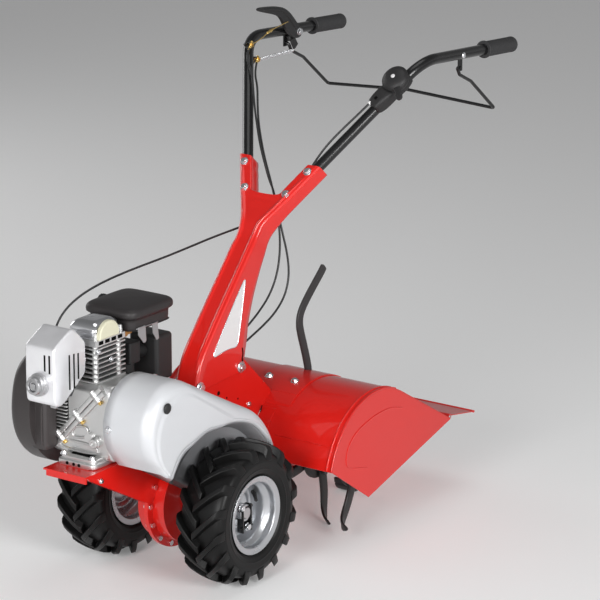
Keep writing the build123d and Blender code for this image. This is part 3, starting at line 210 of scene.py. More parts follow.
redEnamel = finish("redEnamel", mottle, (0.62, 0.010, 0.006),
                   "engine_carrier gearcase_left gearcase_right neck_frame hood_shell hood_end_left "
                   "hood_end_right depth_bracket column rear_flap",
                   bump=0.03, coat=0.6, coatRough=0.03, specular=0.3,
                   Scale=5.0, Mottle=0.10, Rough=0.34, Vary=0.08, Fine=160.0)
guardSilver = finish("guardSilver", mottle, (0.59, 0.60, 0.62), "belt_guard back_plate", metallic=0.15,
                     bump=0.05, coat=0.05, coatRough=0.2, Scale=9.0, Mottle=0.05, Rough=0.46, Vary=0.10,
                     Fine=900.0)
# Paint under the guard's arch with painted shade: its colour darkens by the mesh's depth attribute
guardArchPaintedShade = finish("guardArchPaintedShade", mottle, (0.58, 0.585, 0.61), metallic=0.2, bump=0.08, specular=0.4,
                   shade="depth", Scale=11.0, Mottle=0.4, Rough=0.42, Vary=0.15, Fine=700.0)
rimSilver = finish("rimSilver", mottle, (0.50, 0.51, 0.53), "rim_left rim_right", metallic=0.85, bump=0.06,
                   Scale=14.0, Mottle=0.10, Rough=0.28, Vary=0.15, Fine=700.0)
blackGloss = finish("blackGloss", mottle, (0.005, 0.005, 0.0054),
                    "handle_tube_left handle_tube_right bail depth_lever hub_locks", bump=0.015, coat=0.25,
                    coatRough=0.05, specular=0.35, Scale=9.0, Mottle=0.2, Rough=0.26, Vary=0.08, Fine=120.0)
tinePaint = finish("tinePaint", mottle, (0.016, 0.015, 0.015), "tine_rotors", bump=0.12,
                   Scale=26.0, Mottle=0.5, Rough=0.45, Vary=0.2, Fine=400.0)
fanPlastic = finish("fanPlastic", mottle, (0.040, 0.035, 0.035), bump=0.25, specular=0.4,
                    Scale=14.0, Mottle=0.25, Rough=0.42, Vary=0.14, Fine=900.0)
blackPlastic = finish("blackPlastic", mottle, (0.015, 0.0145, 0.015),
                      "throttle_housing throttle_lever lever_clamp reverse_lever fan_housing recoil_cover "
                      "fuel_cap air_cleaner starter_grip carburettor", bump=0.30, specular=0.4,
                      Scale=18.0, Mottle=0.2, Rough=0.52, Vary=0.12, Fine=1400.0)
tankPlastic = finish("tankPlastic", mottle, (0.022, 0.019, 0.0195), "fuel_tank", bump=0.25, specular=0.4,
                     Scale=8.0, Mottle=0.18, Rough=0.50, Vary=0.10, Fine=1500.0)
gripRubber = finish("gripRubber", mottle, (0.020, 0.020, 0.021), "grip_left grip_right", bump=0.45,
                    Scale=22.0, Mottle=0.25, Rough=0.66, Vary=0.10, Fine=1100.0)
tyreRubber = finish("tyreRubber", mottle, (0.0042, 0.0041, 0.0041), "tyre_left tyre_right", bump=0.20,
                    specular=0.22, Scale=16.0, Mottle=0.35, Rough=0.40, Vary=0.20, Fine=500.0)
cableSheath = finish("cableSheath", mottle, (0.014, 0.014, 0.015), bump=0.1, edge=0,
                     Scale=40.0, Mottle=0.2, Rough=0.42, Vary=0.1, Fine=900.0)
castAlloy = finish("castAlloy", mottle, (0.66, 0.66, 0.655), "crankcase_lower crankcase_upper cylinder",
                   metallic=0.84, bump=0.5, depth=0.4, Scale=16.0, Mottle=0.30, Rough=0.34, Vary=0.24,
                   Fine=420.0)
# Painted shade: near-black for the insides of holes, slots and hollows
holeShade = finish("holeShade", mottle, (0.002, 0.002, 0.002), bump=0.02, specular=0.1,
                   Scale=20.0, Mottle=0.2, Rough=0.9, Vary=0.05, Fine=400.0)
leverPaint = finish("leverPaint", mottle, (0.030, 0.027, 0.028), bump=0.08, specular=0.35,
                    Scale=16.0, Mottle=0.2, Rough=0.46, Vary=0.12, Fine=500.0)
polishedAlloy = finish("polishedAlloy", brush, (0.78, 0.79, 0.81), "valve_cover", metallic=1.0, bump=0.03,
                       Scale=8.0, Mottle=0.06, Rough=0.13, Vary=0.10)
panelWhite = finish("panelWhite", brush, (0.74, 0.73, 0.73), metallic=0.15, bump=0.03, edge=0.6, coat=0.3,
                    Stretch=(1, 1, 6), Scale=14.0, Mottle=0.10, Rough=0.34, Vary=0.10)
finish("creamDisc", mottle, (0.63, 0.61, 0.46), "cam_cover", bump=0.05,
       Scale=20.0, Mottle=0.08, Rough=0.42, Vary=0.1, Fine=700.0)
mufflerSheet = finish("mufflerSheet", mottle, (0.90, 0.90, 0.92), "muffler_cover", metallic=0.66, bump=0.25,
                      depth=0.3, Scale=22.0, Mottle=0.16, Rough=0.33, Vary=0.2, Fine=350.0)
zincPlate = finish("zincPlate", brush, (0.74, 0.75, 0.77), "case_bolts frame_bolts", metallic=1.0,
                   bump=0.05, edge=0.6, Scale=60.0, Mottle=0.2, Rough=0.24, Vary=0.15)
yellowZinc = finish("yellowZinc", brush, (0.72, 0.50, 0.17), metallic=1.0, bump=0.05, edge=0.6,
                    Scale=60.0, Mottle=0.3, Rough=0.30, Vary=0.15)
shaftSteel = finish("shaftSteel", brush, (0.50, 0.50, 0.51),
                    "wheel_axle input_shaft tine_shaft crankshaft ball_bearings drive_chains hinge_pins",
                    metallic=1.0, bump=0.08, Stretch=(40, 1, 40), Scale=20.0, Mottle=0.2, Rough=0.32,
                    Vary=0.15)
darkIron = finish("darkIron", mottle, (0.10, 0.10, 0.105),
                  "muffler flywheel driven_pulley engine_pulley tension_arm", metallic=0.7, bump=0.3,
                  Scale=20.0, Mottle=0.3, Rough=0.5, Vary=0.2, Fine=400.0)
finish("beltRubber", mottle, (0.014, 0.014, 0.014), "drive_belt", bump=0.3,
       Scale=30.0, Mottle=0.3, Rough=0.75, Vary=0.1, Fine=900.0)
finish("plugBoot", mottle, (0.36, 0.17, 0.05), "spark_plug", bump=0.1,
       Scale=30.0, Mottle=0.3, Rough=0.4, Vary=0.2, Fine=900.0)
print("finishes mixed")

# Control cables: control points from the hand control to the stop
cableDiameter = 5
cables = {
    "throttle_cable": {"length": 1045, "lay": "hanging", "route": [
        (-516, 178, 1010), (-487, 154, 976), (-463, 130, 945), (-441, 104, 910), (-426, 82, 873),
        (-416, 61, 833), (-407, 43, 791), (-376, 14, 757), (-355, -22, 733), (-323, -58, 715),
        (-250, -80, 704), (-171, -95, 693), (-99, -106, 685), (-27, -117, 679), (44, -129, 671),
        (104, -140, 660), (152, -151, 644), (190, -160, 621), (215, -165, 592), (227, -168, 558)]},
    "reverse_cable": {"length": 833, "lay": "hanging", "route": [
        (-573, -212, 1076), (-548, -206, 1056), (-538, -180, 1029), (-515, -160, 992), (-489, -137, 956),
        (-464, -112, 921), (-442, -88, 884), (-428, -65, 846), (-420, -46, 809), (-411, -26, 788),
        (-402, -10, 745), (-398, 0, 698), (-395, 3, 648), (-382, 4, 599), (-354, 4, 557), (-314, 3, 526),
        (-269, 2, 501), (-223, 0, 478), (-180, -3, 455)]},
    "clutch_cable": {"length": 869, "lay": "hanging", "route": [
        (-598, -210, 1037), (-572, -198, 1016), (-543, -168, 993), (-510, -144, 963), (-480, -120, 928),
        (-455, -94, 891), (-439, -72, 853), (-431, -53, 816), (-424, -37, 782), (-419, -20, 737),
        (-415, -5, 691), (-421, 5, 641), (-421, 11, 589), (-402, 12, 543), (-361, 12, 511), (-312, 12, 491),
        (-260, 11, 474), (-212, 9, 456), (-170, 9, 437)]},
}


def addCable(node, facts):
    points = inFrame(facts["route"])
    diameter = cableDiameter / 1000
    curve = bpy.data.curves.new(node + "_line", "CURVE")
    curve.dimensions = "3D"
    curve.bevel_depth, curve.bevel_resolution = diameter / 2, 4
    curve.use_fill_caps = True
    spline = curve.splines.new("NURBS")
    spline.points.add(len(points) - 1)
    spline.points.foreach_set("co", np.c_[points, np.ones(len(points))].ravel())
    spline.order_u = 3
    spline.use_endpoint_u = True
    spline.resolution_u = 8
    curve.materials.append(cableSheath)
    piece = addObject(node + "_line", curve)
    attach(piece, "chassis")
    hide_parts(node)


# The place where a cable starts and its direction there, out of the cable
def cableStart(node):
    first, second = np.array(cables[node]["route"][:2], float)
    return first, (first - second) / np.linalg.norm(first - second)


for node, facts in cables.items():
    addCable(node, facts)
print("cables laid")


# A grid of points as a part, its rows and columns joined by quads: wrapped where it closes, capped where
# its first and last rows are rings
def surface(points, wrapRows=False, wrapCols=False, caps=False):
    rows, cols = points.shape[:2]
    r = np.arange(rows if wrapRows else rows - 1)[:, None]
    c = np.arange(cols if wrapCols else cols - 1)[None, :]
    nextRow, nextCol = (r + 1) % rows, (c + 1) % cols
    quads = np.broadcast_arrays(r * cols + c, nextRow * cols + c, nextRow * cols + nextCol,
                                r * cols + nextCol)
    faces = np.stack(quads, -1).reshape(-1, 4).tolist()
    if caps:
        faces += [list(range(cols)), list(range((rows - 1) * cols, rows * cols))]
    return points.reshape(-1, 3), faces


# Strips of a sheet side by side: each is two measures over the same rows
def sideBySide(*strips):
    pairs = [np.broadcast_arrays(*strip) for strip in strips]
    return [np.concatenate(measure, 1) for measure in zip(*pairs)]


def mirrored(parts):
    return [(points * (1, -1, 1), faces) for points, faces in parts]


# A matrix whose third column is the given direction
def facing(direction):
    z = np.asarray(direction, float) / np.linalg.norm(direction)
    x = np.cross(leftward if abs(z[1]) < 0.9 else forward, z)
    x = x / np.linalg.norm(x)
    return np.stack([x, np.cross(z, x), z], 1)


# A smooth line through a few points: each span is the cubic set by the points beside it
def smoothLine(points, count):
    spots = np.asarray(points, float)
    along = np.linspace(0, len(spots) - 1, count)
    index = np.minimum(along.astype(int), len(spots) - 2)
    t = (along - index)[:, None]
    before, start = spots[np.maximum(index - 1, 0)], spots[index]
    end, after = spots[index + 1], spots[np.minimum(index + 2, len(spots) - 1)]
    return 0.5 * (2 * start + (end - before) * t + (2 * before - 5 * start + 4 * end - after) * t**2
                  + (3 * start - before - 3 * end + after) * t**3)


# A closed line whose corners are cut off again and again, each time a quarter of the way along both sides
def rounded(points, times=2):
    line = np.asarray(points, float)
    for _ in range(times):
        ahead = np.roll(line, -1, 0)
        cut = np.stack([0.75 * line + 0.25 * ahead, 0.25 * line + 0.75 * ahead], 1)
        line = cut.reshape(-1, line.shape[1])
    return line


# An outline of X and Z stood up at a place across
def standing(outline, y):
    return np.insert(np.asarray(outline, float), 1, y, axis=1)


# Points round a middle in X and Z: radius, place across and angle from straight ahead
def around(middle, radius, y, angle):
    radius, y, angle = np.broadcast_arrays(radius, y, angle)
    return np.stack([middle[0] + radius * np.cos(angle), y, middle[1] + radius * np.sin(angle)], -1)


# Rings about the third axis, whose radius and height may change with the angle
def rings(radius, height, angle):
    radius, height, angle = np.broadcast_arrays(radius, height, angle)
    return np.stack([radius * np.cos(angle), radius * np.sin(angle), height], -1)


def fullTurn(steps):
    return np.linspace(0, 2 * pi, steps, endpoint=False)


# A profile of radius and height carried round an axis, the height along the aim
def turned(profile, place, aim, steps=24, closed=False):
    radius, height = np.transpose(np.asarray(profile, float))
    ring = rings(radius, height, fullTurn(steps)[:, None])
    return surface(ring @ facing(aim).T + place, wrapRows=True, wrapCols=closed)


# Hexagon heads on washers, turned shapes whose radius follows the six flats; the size is the width across
# flats, the height, the washer's radius and its height
def hexHeads(size, places, aim, steps=36):
    across, height, washer, washerHeight = size
    angle = fullTurn(steps)[:, None]
    flat = across / 2 / np.cos((angle + pi / 6) % (pi / 3) - pi / 6)
    plain = np.ones_like(angle)
    top = washerHeight + height
    radius = np.concatenate([0 * plain, washer * plain, washer * plain, flat, flat, 0.46 * across * plain,
                             0 * plain], 1)
    rise = np.array([0, 0, washerHeight, washerHeight, top - 0.12 * across, top, top])
    head = rings(radius, rise, angle) @ facing(aim).T
    return [surface(head + place, wrapRows=True) for place in places]


# A section carried along a line: its first measure lies across the line, its second along the given up
def swept(line, section, up=upward, closed=False):
    line, section = np.asarray(line, float), np.asarray(section, float)
    ahead = np.roll(line, -1, 0) - np.roll(line, 1, 0) if closed else np.gradient(line, axis=0)
    ahead = ahead / np.linalg.norm(ahead, axis=1, keepdims=True)
    side = np.cross(np.broadcast_to(np.asarray(up, float), line.shape), ahead)
    side = side / np.linalg.norm(side, axis=1, keepdims=True)
    top = np.cross(ahead, side)
    section = np.broadcast_to(section, (len(line), *section.shape[-2:]))
    ring = line[:, None] + section[..., :1] * side[:, None] + section[..., 1:] * top[:, None]
    return surface(ring, wrapRows=closed, wrapCols=True, caps=not closed)


def bar(points, count, section, up=leftward):
    return swept(smoothLine(points, count), section, up)


def circle(radius, steps=10):
    return radius * np.c_[np.cos(fullTurn(steps)), np.sin(fullTurn(steps))]


# A rounded rectangle: signed powers of cosine and sine, squarer with a smaller power
def softBox(halfWidth, halfHeight, power, steps=24):
    wave = circle(1, steps)
    return np.sign(wave) * np.abs(wave)**power * (halfWidth, halfHeight)


# Rounded rectangles on top of each other: half length, half width and height of each level
def stacked(levels, middle, power, steps, caps=True):
    levels = [np.insert(softBox(length, width, power, steps), 2, z, axis=1) for length, width, z in levels]
    return surface(np.array(levels) + (*middle, 0), wrapCols=True, caps=caps)


# A block with rounded upright edges, its top and bottom drawn in along a small quarter circle
def softBlock(low, high, power=0.2, edge=3.0, steps=48):
    low, high = np.array(low, float), np.array(high, float)
    half, middle = (high - low) / 2, (high + low) / 2
    q = np.linspace(0, pi / 2, 5)
    inset, drop = edge * (1 - np.sin(q)), edge * (1 - np.cos(q))
    inset = np.concatenate([[half.min()], inset, inset[::-1], [half.min()]])
    z = np.concatenate([[low[2]], low[2] + drop, high[2] - drop[::-1], [high[2]]])
    return stacked(np.c_[np.maximum(half[:2] - inset[:, None], 0), z], middle[:2], power, steps)


# A thin plate: a closed outline twice, joined and capped
def plateFrom(outline, thick):
    outline = np.asarray(outline, float)
    return surface(np.stack([outline, outline + thick]), wrapCols=True, caps=True)


# A piece from its parts: edges sharper than the smooth angle stay hard, a wall gives a sheet its thickness
def addPiece(name, parts, material, slotName, replaces="", body="chassis", smooth=35.0, bevel=0.0,
             wall=0.0):
    starts = np.cumsum([0] + [len(points) for points, _ in parts]).tolist()
    faces = [[v + start for v in face] for start, part in zip(starts, parts) for face in part[1]]
    mesh = bpy.data.meshes.new(name)
    mesh.from_pydata(inFrame(np.concatenate([points for points, _ in parts])).tolist(), [], faces)
    shape = bmesh.new()
    shape.from_mesh(mesh)
    bmesh.ops.remove_doubles(shape, verts=shape.verts, dist=2e-6)
    bmesh.ops.recalc_face_normals(shape, faces=shape.faces)
    shape.to_mesh(mesh)
    shape.free()
    mesh.polygons.foreach_set("use_smooth", np.ones(len(mesh.polygons), bool))
    mesh.set_sharp_from_angle(angle=radians(smooth))
    mesh.materials.append(material)
    piece = addObject(name, mesh)
    if wall:
        sheet = piece.modifiers.new("wall", "SOLIDIFY")
        sheet.thickness, sheet.offset = wall / 1000, -1.0
    if bevel:
        rounding = piece.modifiers.new("edges", "BEVEL")
        rounding.width, rounding.segments, rounding.limit_method = bevel / 1000, 2, "ANGLE"
        rounding.angle_limit = radians(32)
    if body:
        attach(piece, body)
    if replaces:
        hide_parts(replaces)
    return piece


# A piece on the left and its mirror image on the right
def addPair(name, parts, material, slotName, replaces="", **form):
    for side, some in (("_left", parts), ("_right", mirrored(parts))):
        addPiece(name + side, some, material, slotName, replaces and replaces + side, **form)


# Wheels
tyre = {
    "track": 169.0, "lugs": 16, "lugSpread": 22.0, "lugBevel": 1.4,
    # half section from bead to crown: radius and distance from the middle
    "section": [(77.5, 40), (78.2, 46), (84, 47.6), (91.8, 50.2), (99, 55), (113, 58), (127, 57.6),
                (138, 53), (144, 42), (147, 24), (148.5, 0)],
    # rings moulded on each sidewall: radius, rise and width
    "rings": [(106.5, 0.9, 1.2), (121, 0.7, 1.0)],
    # along an arm of the chevron: share, distance from the middle, top radius, foot radius, width
    "arm": [(0.0, -7, 163.5, 145, 19), (0.1, -1, 165, 145, 19), (0.35, 14, 164.6, 144, 18),
            (0.6, 29, 163.2, 143, 18), (0.85, 44, 160.6, 139, 19), (1.0, 52, 158, 134, 21),
            (1.06, 56.5, 150, 130, 23), (1.1, 58.6, 137, 126, 24)],
    # a lug's four corners in shares of its width, turned into angles at one radius
    "corners": (-0.62, -0.40, 0.40, 0.62), "cornerRadius": 155,
}
hubMiddle = (0, axleHeight)
wheelMiddle = (0, tyre["track"], axleHeight)


def carcass():
    radius, y = smoothLine(tyre["section"], 60).T
    for place, rise, width in tyre["rings"]:
        y = y + rise * np.exp(-((radius - place) / width)**2)
    loop = np.concatenate([np.c_[radius, y], np.c_[radius, -y][-2::-1]])
    return turned(loop, wheelMiddle, leftward, 120, closed=True)


def lugs():
    # each arm is a bar with a flat top: four corners at each station, set round the wheel by its angle
    share, y, top, foot, width = np.transpose(tyre["arm"])
    radius = np.stack([foot, top, top, foot], 1)
    lean = np.outer(width, tyre["corners"]) / tyre["cornerRadius"]
    parts = []
    for side in (1, -1):
        start = 2 * pi / tyre["lugs"] * (np.arange(tyre["lugs"]) + 0.25 * side)
        angle = start[:, None, None] - radians(tyre["lugSpread"]) * share[:, None] + lean
        arms = around(hubMiddle, radius, tyre["track"] + side * y[:, None], pi / 2 - angle)
        parts += [surface(arm, wrapCols=True, caps=True) for arm in arms]
    return parts


addPair("fieldTyre", [carcass()], tyreRubber, "tyre_rubber", "tyre", body="wheels")
addPair("tyreLugs", lugs(), tyreRubber, "tyre_rubber", body="wheels", bevel=tyre["lugBevel"])
print("tyres")

rim = {
    # half of the sheet, its inner side from the middle to the flange and its outer side back: radius and
    # distance from the wheel's middle
    "barrelHalf": [(66, 20), (68, 24.6), (74.4, 31.8), (77.4, 36), (77.4, 46), (77.6, 47.4), (80.6, 48.4),
                   (87, 50), (90.2, 51.4), (89.2, 53.6), (86.6, 52.6), (80, 50.9), (76.2, 50.2), (74.9, 47),
                   (74.9, 36), (72, 33), (65, 25.5), (63.6, 21)],
    # pressed dish and hub sleeve in the same measures
    "dish": [(64.2, -6), (62.5, -10.5), (58, -12.2), (53, -10.6), (47, -6.2), (42, -6.2), (37, -10),
             (32, -12), (21.5, -12), (19.9, -10), (19.9, 22.4), (18.8, 23.8), (14.2, 23.8), (12.9, 22.6),
             (12.9, -27), (14, -28), (19, -28), (19.9, -27), (19.9, -16.5), (21.5, -14.6), (32, -14.6),
             (38, -12.5), (42.6, -8.8), (46.6, -8.8), (52.4, -13), (58, -14.8), (64.2, -13)],
    # a rubber foot tapering to a thin stem with a ribbed cap, standing out of the dish
    "valve": [(0, 0), (7, 0), (7, 2), (5.4, 5), (4.6, 14), (4.2, 20), (3.4, 21), (3.4, 22.5), (4, 23),
              (4, 26), (3.5, 26.5), (4, 27), (4, 31), (3, 32.5), (0, 32.5)],
    "valveTurn": 152.0, "valveRadius": 64, "valveOut": 4, "valveLeanIn": 0.75, "valveLeanOut": 0.7,
    "hubBolt": (13, 6, 9.5, 1.6), "hubBoltPlaces": [(16.9, 191.5, 181), (-5.4, 191.5, 131)],
}


def wheelRim():
    half = np.array(rim["barrelHalf"])
    barrel = np.concatenate([half, half[::-1] * (1, -1)])
    return [turned(rounded(loop), wheelMiddle, leftward, 96, closed=True) for loop in (barrel, rim["dish"])]


def valveStem():
    angle = radians(rim["valveTurn"])
    place = around(hubMiddle, rim["valveRadius"], tyre["track"] + rim["valveOut"], angle)
    lean = -rim["valveLeanIn"]
    return turned(rim["valve"], place, (lean * cos(angle), rim["valveLeanOut"], lean * sin(angle)), 20)


addPair("wheelRim", wheelRim(), rimSilver, "rim_silver", "rim", body="wheels")
addPair("valveStem", [valveStem()], blackPlastic, "grip_rubber", body="wheels")
addPair("hubBolts", hexHeads(rim["hubBolt"], rim["hubBoltPlaces"], leftward), zincPlate, "zinc",
        body="wheels")
print("rims")

# Belt guard: a pressed cover with a rounded rim, a sunk face and a flared arch over the wheel
guard = {
    "drum": (198, 411), "drumRadius": 101, "tail": (-10, 250), "tailRadius": 146,
    "rimY": 30, "innerY": 104, "faceY": 160, "sheet": 2,
    # rounded outer edge and the step by which the face sinks inside it; both shrink where room is short
    "edge": 30, "edgeShare": 0.75, "step": 3.2, "stepWidth": 17, "stepRoom": 60,
    # angles about the axle where the shell starts and ends, its rounded front end and the last row's tuck
    "from": 31.2, "to": 146.5, "endRound": 6, "endTuck": 5.0,
    # the arch's lip: angle about the axle and radius, then the lip's width and the flare's inner radius
    "lip": [(31, 268), (44.6, 268), (55, 248), (67, 234), (75, 220), (83, 210), (99.5, 199), (114, 194),
            (128, 187), (146.5, 181)],
    "lipWidth": 9, "lipShare": 0.3, "lipClear": 10, "flareFoot": 178, "flareLeast": 4,
    # up to this angle the flare swells softly, further back it runs straight to a deeper rolled lip
    "softTo": 80.0, "crispOver": 24.0, "softDrop": 1.2, "crispDrop": 8.0,
    # painted shade: share of the paint's brightness left at the bottom of the arch, by angle
    "archShade": [(31, 0.10), (72, 0.13), (98, 0.42), (146.5, 0.50)],
    # pan behind the wheel: a smaller tail, the drum drawn in a little, a rounded corner
    "panTail": (-35, 280), "panTailRadius": 104, "panInset": 4, "panRound": 12, "panFloor": [50, 90],
    "panSteps": 160,
    "plug": [(0, 3.6), (3.75, 3.5), (7.5, 2.9), (11, 1.6), (12, 0.4), (12, -1), (9.25, -2), (9.25, -8),
             (0, -8)],
    "plugPlace": (238, 160, 465),
    # two small screws hold the rim, one ahead and one behind: place and direction
    "screw": [(0, 0), (9.0, 0), (9.0, 1.5), (6.4, 2.0), (6.2, 4.2), (4.8, 5.6), (0, 6.0)],
    "screws": [((299, 45, 411), (1, 0, 0)), ((135, 45, 490), (-0.62, 0, 0.78))],
}


# How far a point lies outside the hull of the two circles: beside either circle or beside a straight side
def outsideHull(x, z):
    ax, az = guard["tail"]
    bx, bz = guard["drum"]
    span = hypot(bx - ax, bz - az)
    ux, uz = (bx - ax) / span, (bz - az) / span
    along = (x - ax) * ux + (z - az) * uz
    across = np.abs((z - az) * ux - (x - ax) * uz)
    lean = (guard["tailRadius"] - guard["drumRadius"]) / span
    level = np.sqrt(1 - lean**2)
    share = along * level - across * lean
    nearTail = np.hypot(along, across) - guard["tailRadius"]
    nearDrum = np.hypot(along - span, across) - guard["drumRadius"]
    beside = across * level + along * lean - guard["tailRadius"]
    return np.where(share < 0, nearTail, np.where(share > level * span, nearDrum, beside))


# The hull's edge seen from the axle at each angle, by halving the range again and again
def edgeFrom(angle):
    low, high = np.full_like(angle, 100), np.full_like(angle, 600)
    for _ in range(40):
        middle = (low + high) / 2
        inside = outsideHull(middle * np.cos(angle), axleHeight + middle * np.sin(angle)) < 0
        low, high = np.where(inside, middle, low), np.where(inside, high, middle)
    return low


def guardShell():
    # rows run round the axle, columns from the arch outward: the flare, the lip, the face with a step down
    # to its rounded edge, and the rim's straight wall
    degrees = guard["from"] + (guard["to"] - guard["from"]) * np.linspace(0, 1, 200)**1.4
    angle = np.radians(degrees)[:, None]
    outer = edgeFrom(angle)
    lip = np.interp(degrees, *smoothLine(guard["lip"], 400).T)[:, None]
    lip = np.minimum(lip, outer - guard["lipClear"])
    flare = np.maximum(lip - guard["flareFoot"], guard["flareLeast"])
    room = outer - lip
    edge = np.minimum(guard["edge"], guard["edgeShare"] * room)
    lipWidth = np.minimum(guard["lipWidth"], guard["lipShare"] * room)
    crisp = np.clip((degrees - guard["softTo"]) / guard["crispOver"], 0, 1)[:, None]
    drop = guard["softDrop"] + (guard["crispDrop"] - guard["softDrop"]) * crisp
    height = guard["faceY"] - guard["innerY"] - drop
    flareSteps = 22
    t = np.linspace(0, 1, flareSteps)
    swell = t**2 * (3 - 2 * t)
    flareStrip = lip - flare * (1 - t), guard["innerY"] + height * (swell + (t - swell) * crisp)
    q = np.linspace(0, pi / 2, 8)[1:]
    lipStrip = lip + lipWidth * (1 - np.cos(q)), guard["faceY"] - drop * (1 - np.sin(q))
    t = 1 - np.linspace(1, 0, 40)[1:-1]**1.7
    faceFrom, faceTo = lip + lipWidth, outer - edge
    faceRadius = faceFrom + (faceTo - faceFrom) * t
    step = guard["step"] * np.clip(room / guard["stepRoom"], 0, 1)
    soft = np.clip((faceTo - faceRadius) / guard["stepWidth"], 0, 1)
    faceStrip = faceRadius, guard["faceY"] - step * (1 - soft**2 * (3 - 2 * soft))
    q = np.linspace(0, pi / 2, 14)
    edgeTop = guard["faceY"] - step
    edgeStrip = outer - edge * (1 - np.sin(q)), edgeTop - edge * (1 - np.cos(q))
    t = np.linspace(0, 1, 5)[1:]
    wallStrip = outer, edgeTop - edge + (guard["rimY"] - edgeTop + edge) * t
    radius, y = sideBySide(flareStrip, lipStrip, faceStrip, edgeStrip, wallStrip)
    # the front end is rounded down as well: the height falls along a quarter circle and a last row, tucked
    # in by a few degrees, closes it
    near = np.clip(1 - radius * (angle - angle[0]) / guard["endRound"], 0, 1)
    fall = guard["endRound"] * (1 - np.sqrt(1 - near**2))
    y = y - fall * (y - guard["rimY"]) / (guard["faceY"] - guard["rimY"])
    foot = around(hubMiddle, radius[:1], guard["rimY"], angle[0] + radians(guard["endTuck"]))
    whole = np.concatenate([foot, around(hubMiddle, radius, y, angle)])
    return surface(whole[:, flareSteps - 2:]), surface(whole[:, :flareSteps - 1])


# The hull of two circles as a closed line: each angle takes the farther of the two circles
def hullLine(first, firstRadius, second, secondRadius, steps):
    way = circle(1, steps)
    reach = way @ np.subtract(first, second) + firstRadius - secondRadius
    return np.where(reach[:, None] > 0, first + firstRadius * way, second + secondRadius * way)


def guardPan():
    # the hull drawn in step by step, its corner rounded, closed by the last ring
    q = np.linspace(0, pi / 2, 8)
    inset = np.concatenate([[0], guard["panRound"] * (1 - np.cos(q)), guard["panFloor"]])
    y = np.concatenate([[guard["rimY"]], guard["innerY"] - guard["panRound"] * (1 - np.sin(q)),
                        [guard["innerY"]] * 2])
    levels = []
    for less, level in zip(inset, y):
        drumRadius = guard["drumRadius"] - guard["panInset"] - less
        tailRadius = guard["panTailRadius"] - less
        line = hullLine(guard["drum"], drumRadius, guard["panTail"], tailRadius, guard["panSteps"])
        levels.append(standing(line, level))
    points, faces = surface(np.array(levels), wrapCols=True)
    faces.append(list(range(len(points) - guard["panSteps"], len(points))))
    return points, faces


# Painted shade under the arch: the paint darkens with its depth, full at the lip, the angle's share at the
# pan
def shadeByDepth(piece):
    mesh = piece.data
    spots = np.empty(len(mesh.vertices) * 3)
    mesh.vertices.foreach_get("co", spots)
    x, y, z = ((spots.reshape(-1, 3) - axle) * 1000).T
    share = np.clip((y - guard["innerY"]) / (guard["faceY"] - guard["innerY"]), 0, 1)
    low = np.interp(np.degrees(np.arctan2(z - axleHeight, x)), *np.transpose(guard["archShade"]))
    layer = mesh.attributes.new("depth", "FLOAT", "POINT")
    layer.data.foreach_set("value", (low + (1 - low) * share**1.15).astype(np.float32))


guardCover, guardFlare = guardShell()
addPiece("guardShell", [guardCover], guardSilver, "guard_silver", "belt_guard", wall=guard["sheet"])
# flare and pan carry the arch's painted shade
shadeByDepth(addPiece("guardFlare", [guardFlare], guardArchPaintedShade, "guard_silver", wall=guard["sheet"]))
shadeByDepth(addPiece("guardPan", [guardPan()], guardArchPaintedShade, "guard_silver"))
addPiece("guardPlug", [turned(guard["plug"], guard["plugPlace"], leftward, 32)], blackPlastic,
         "black_plastic")
addPiece("guardScrews", [turned(guard["screw"], *spot) for spot in guard["screws"]], zincPlate, "zinc")
print("belt guard")

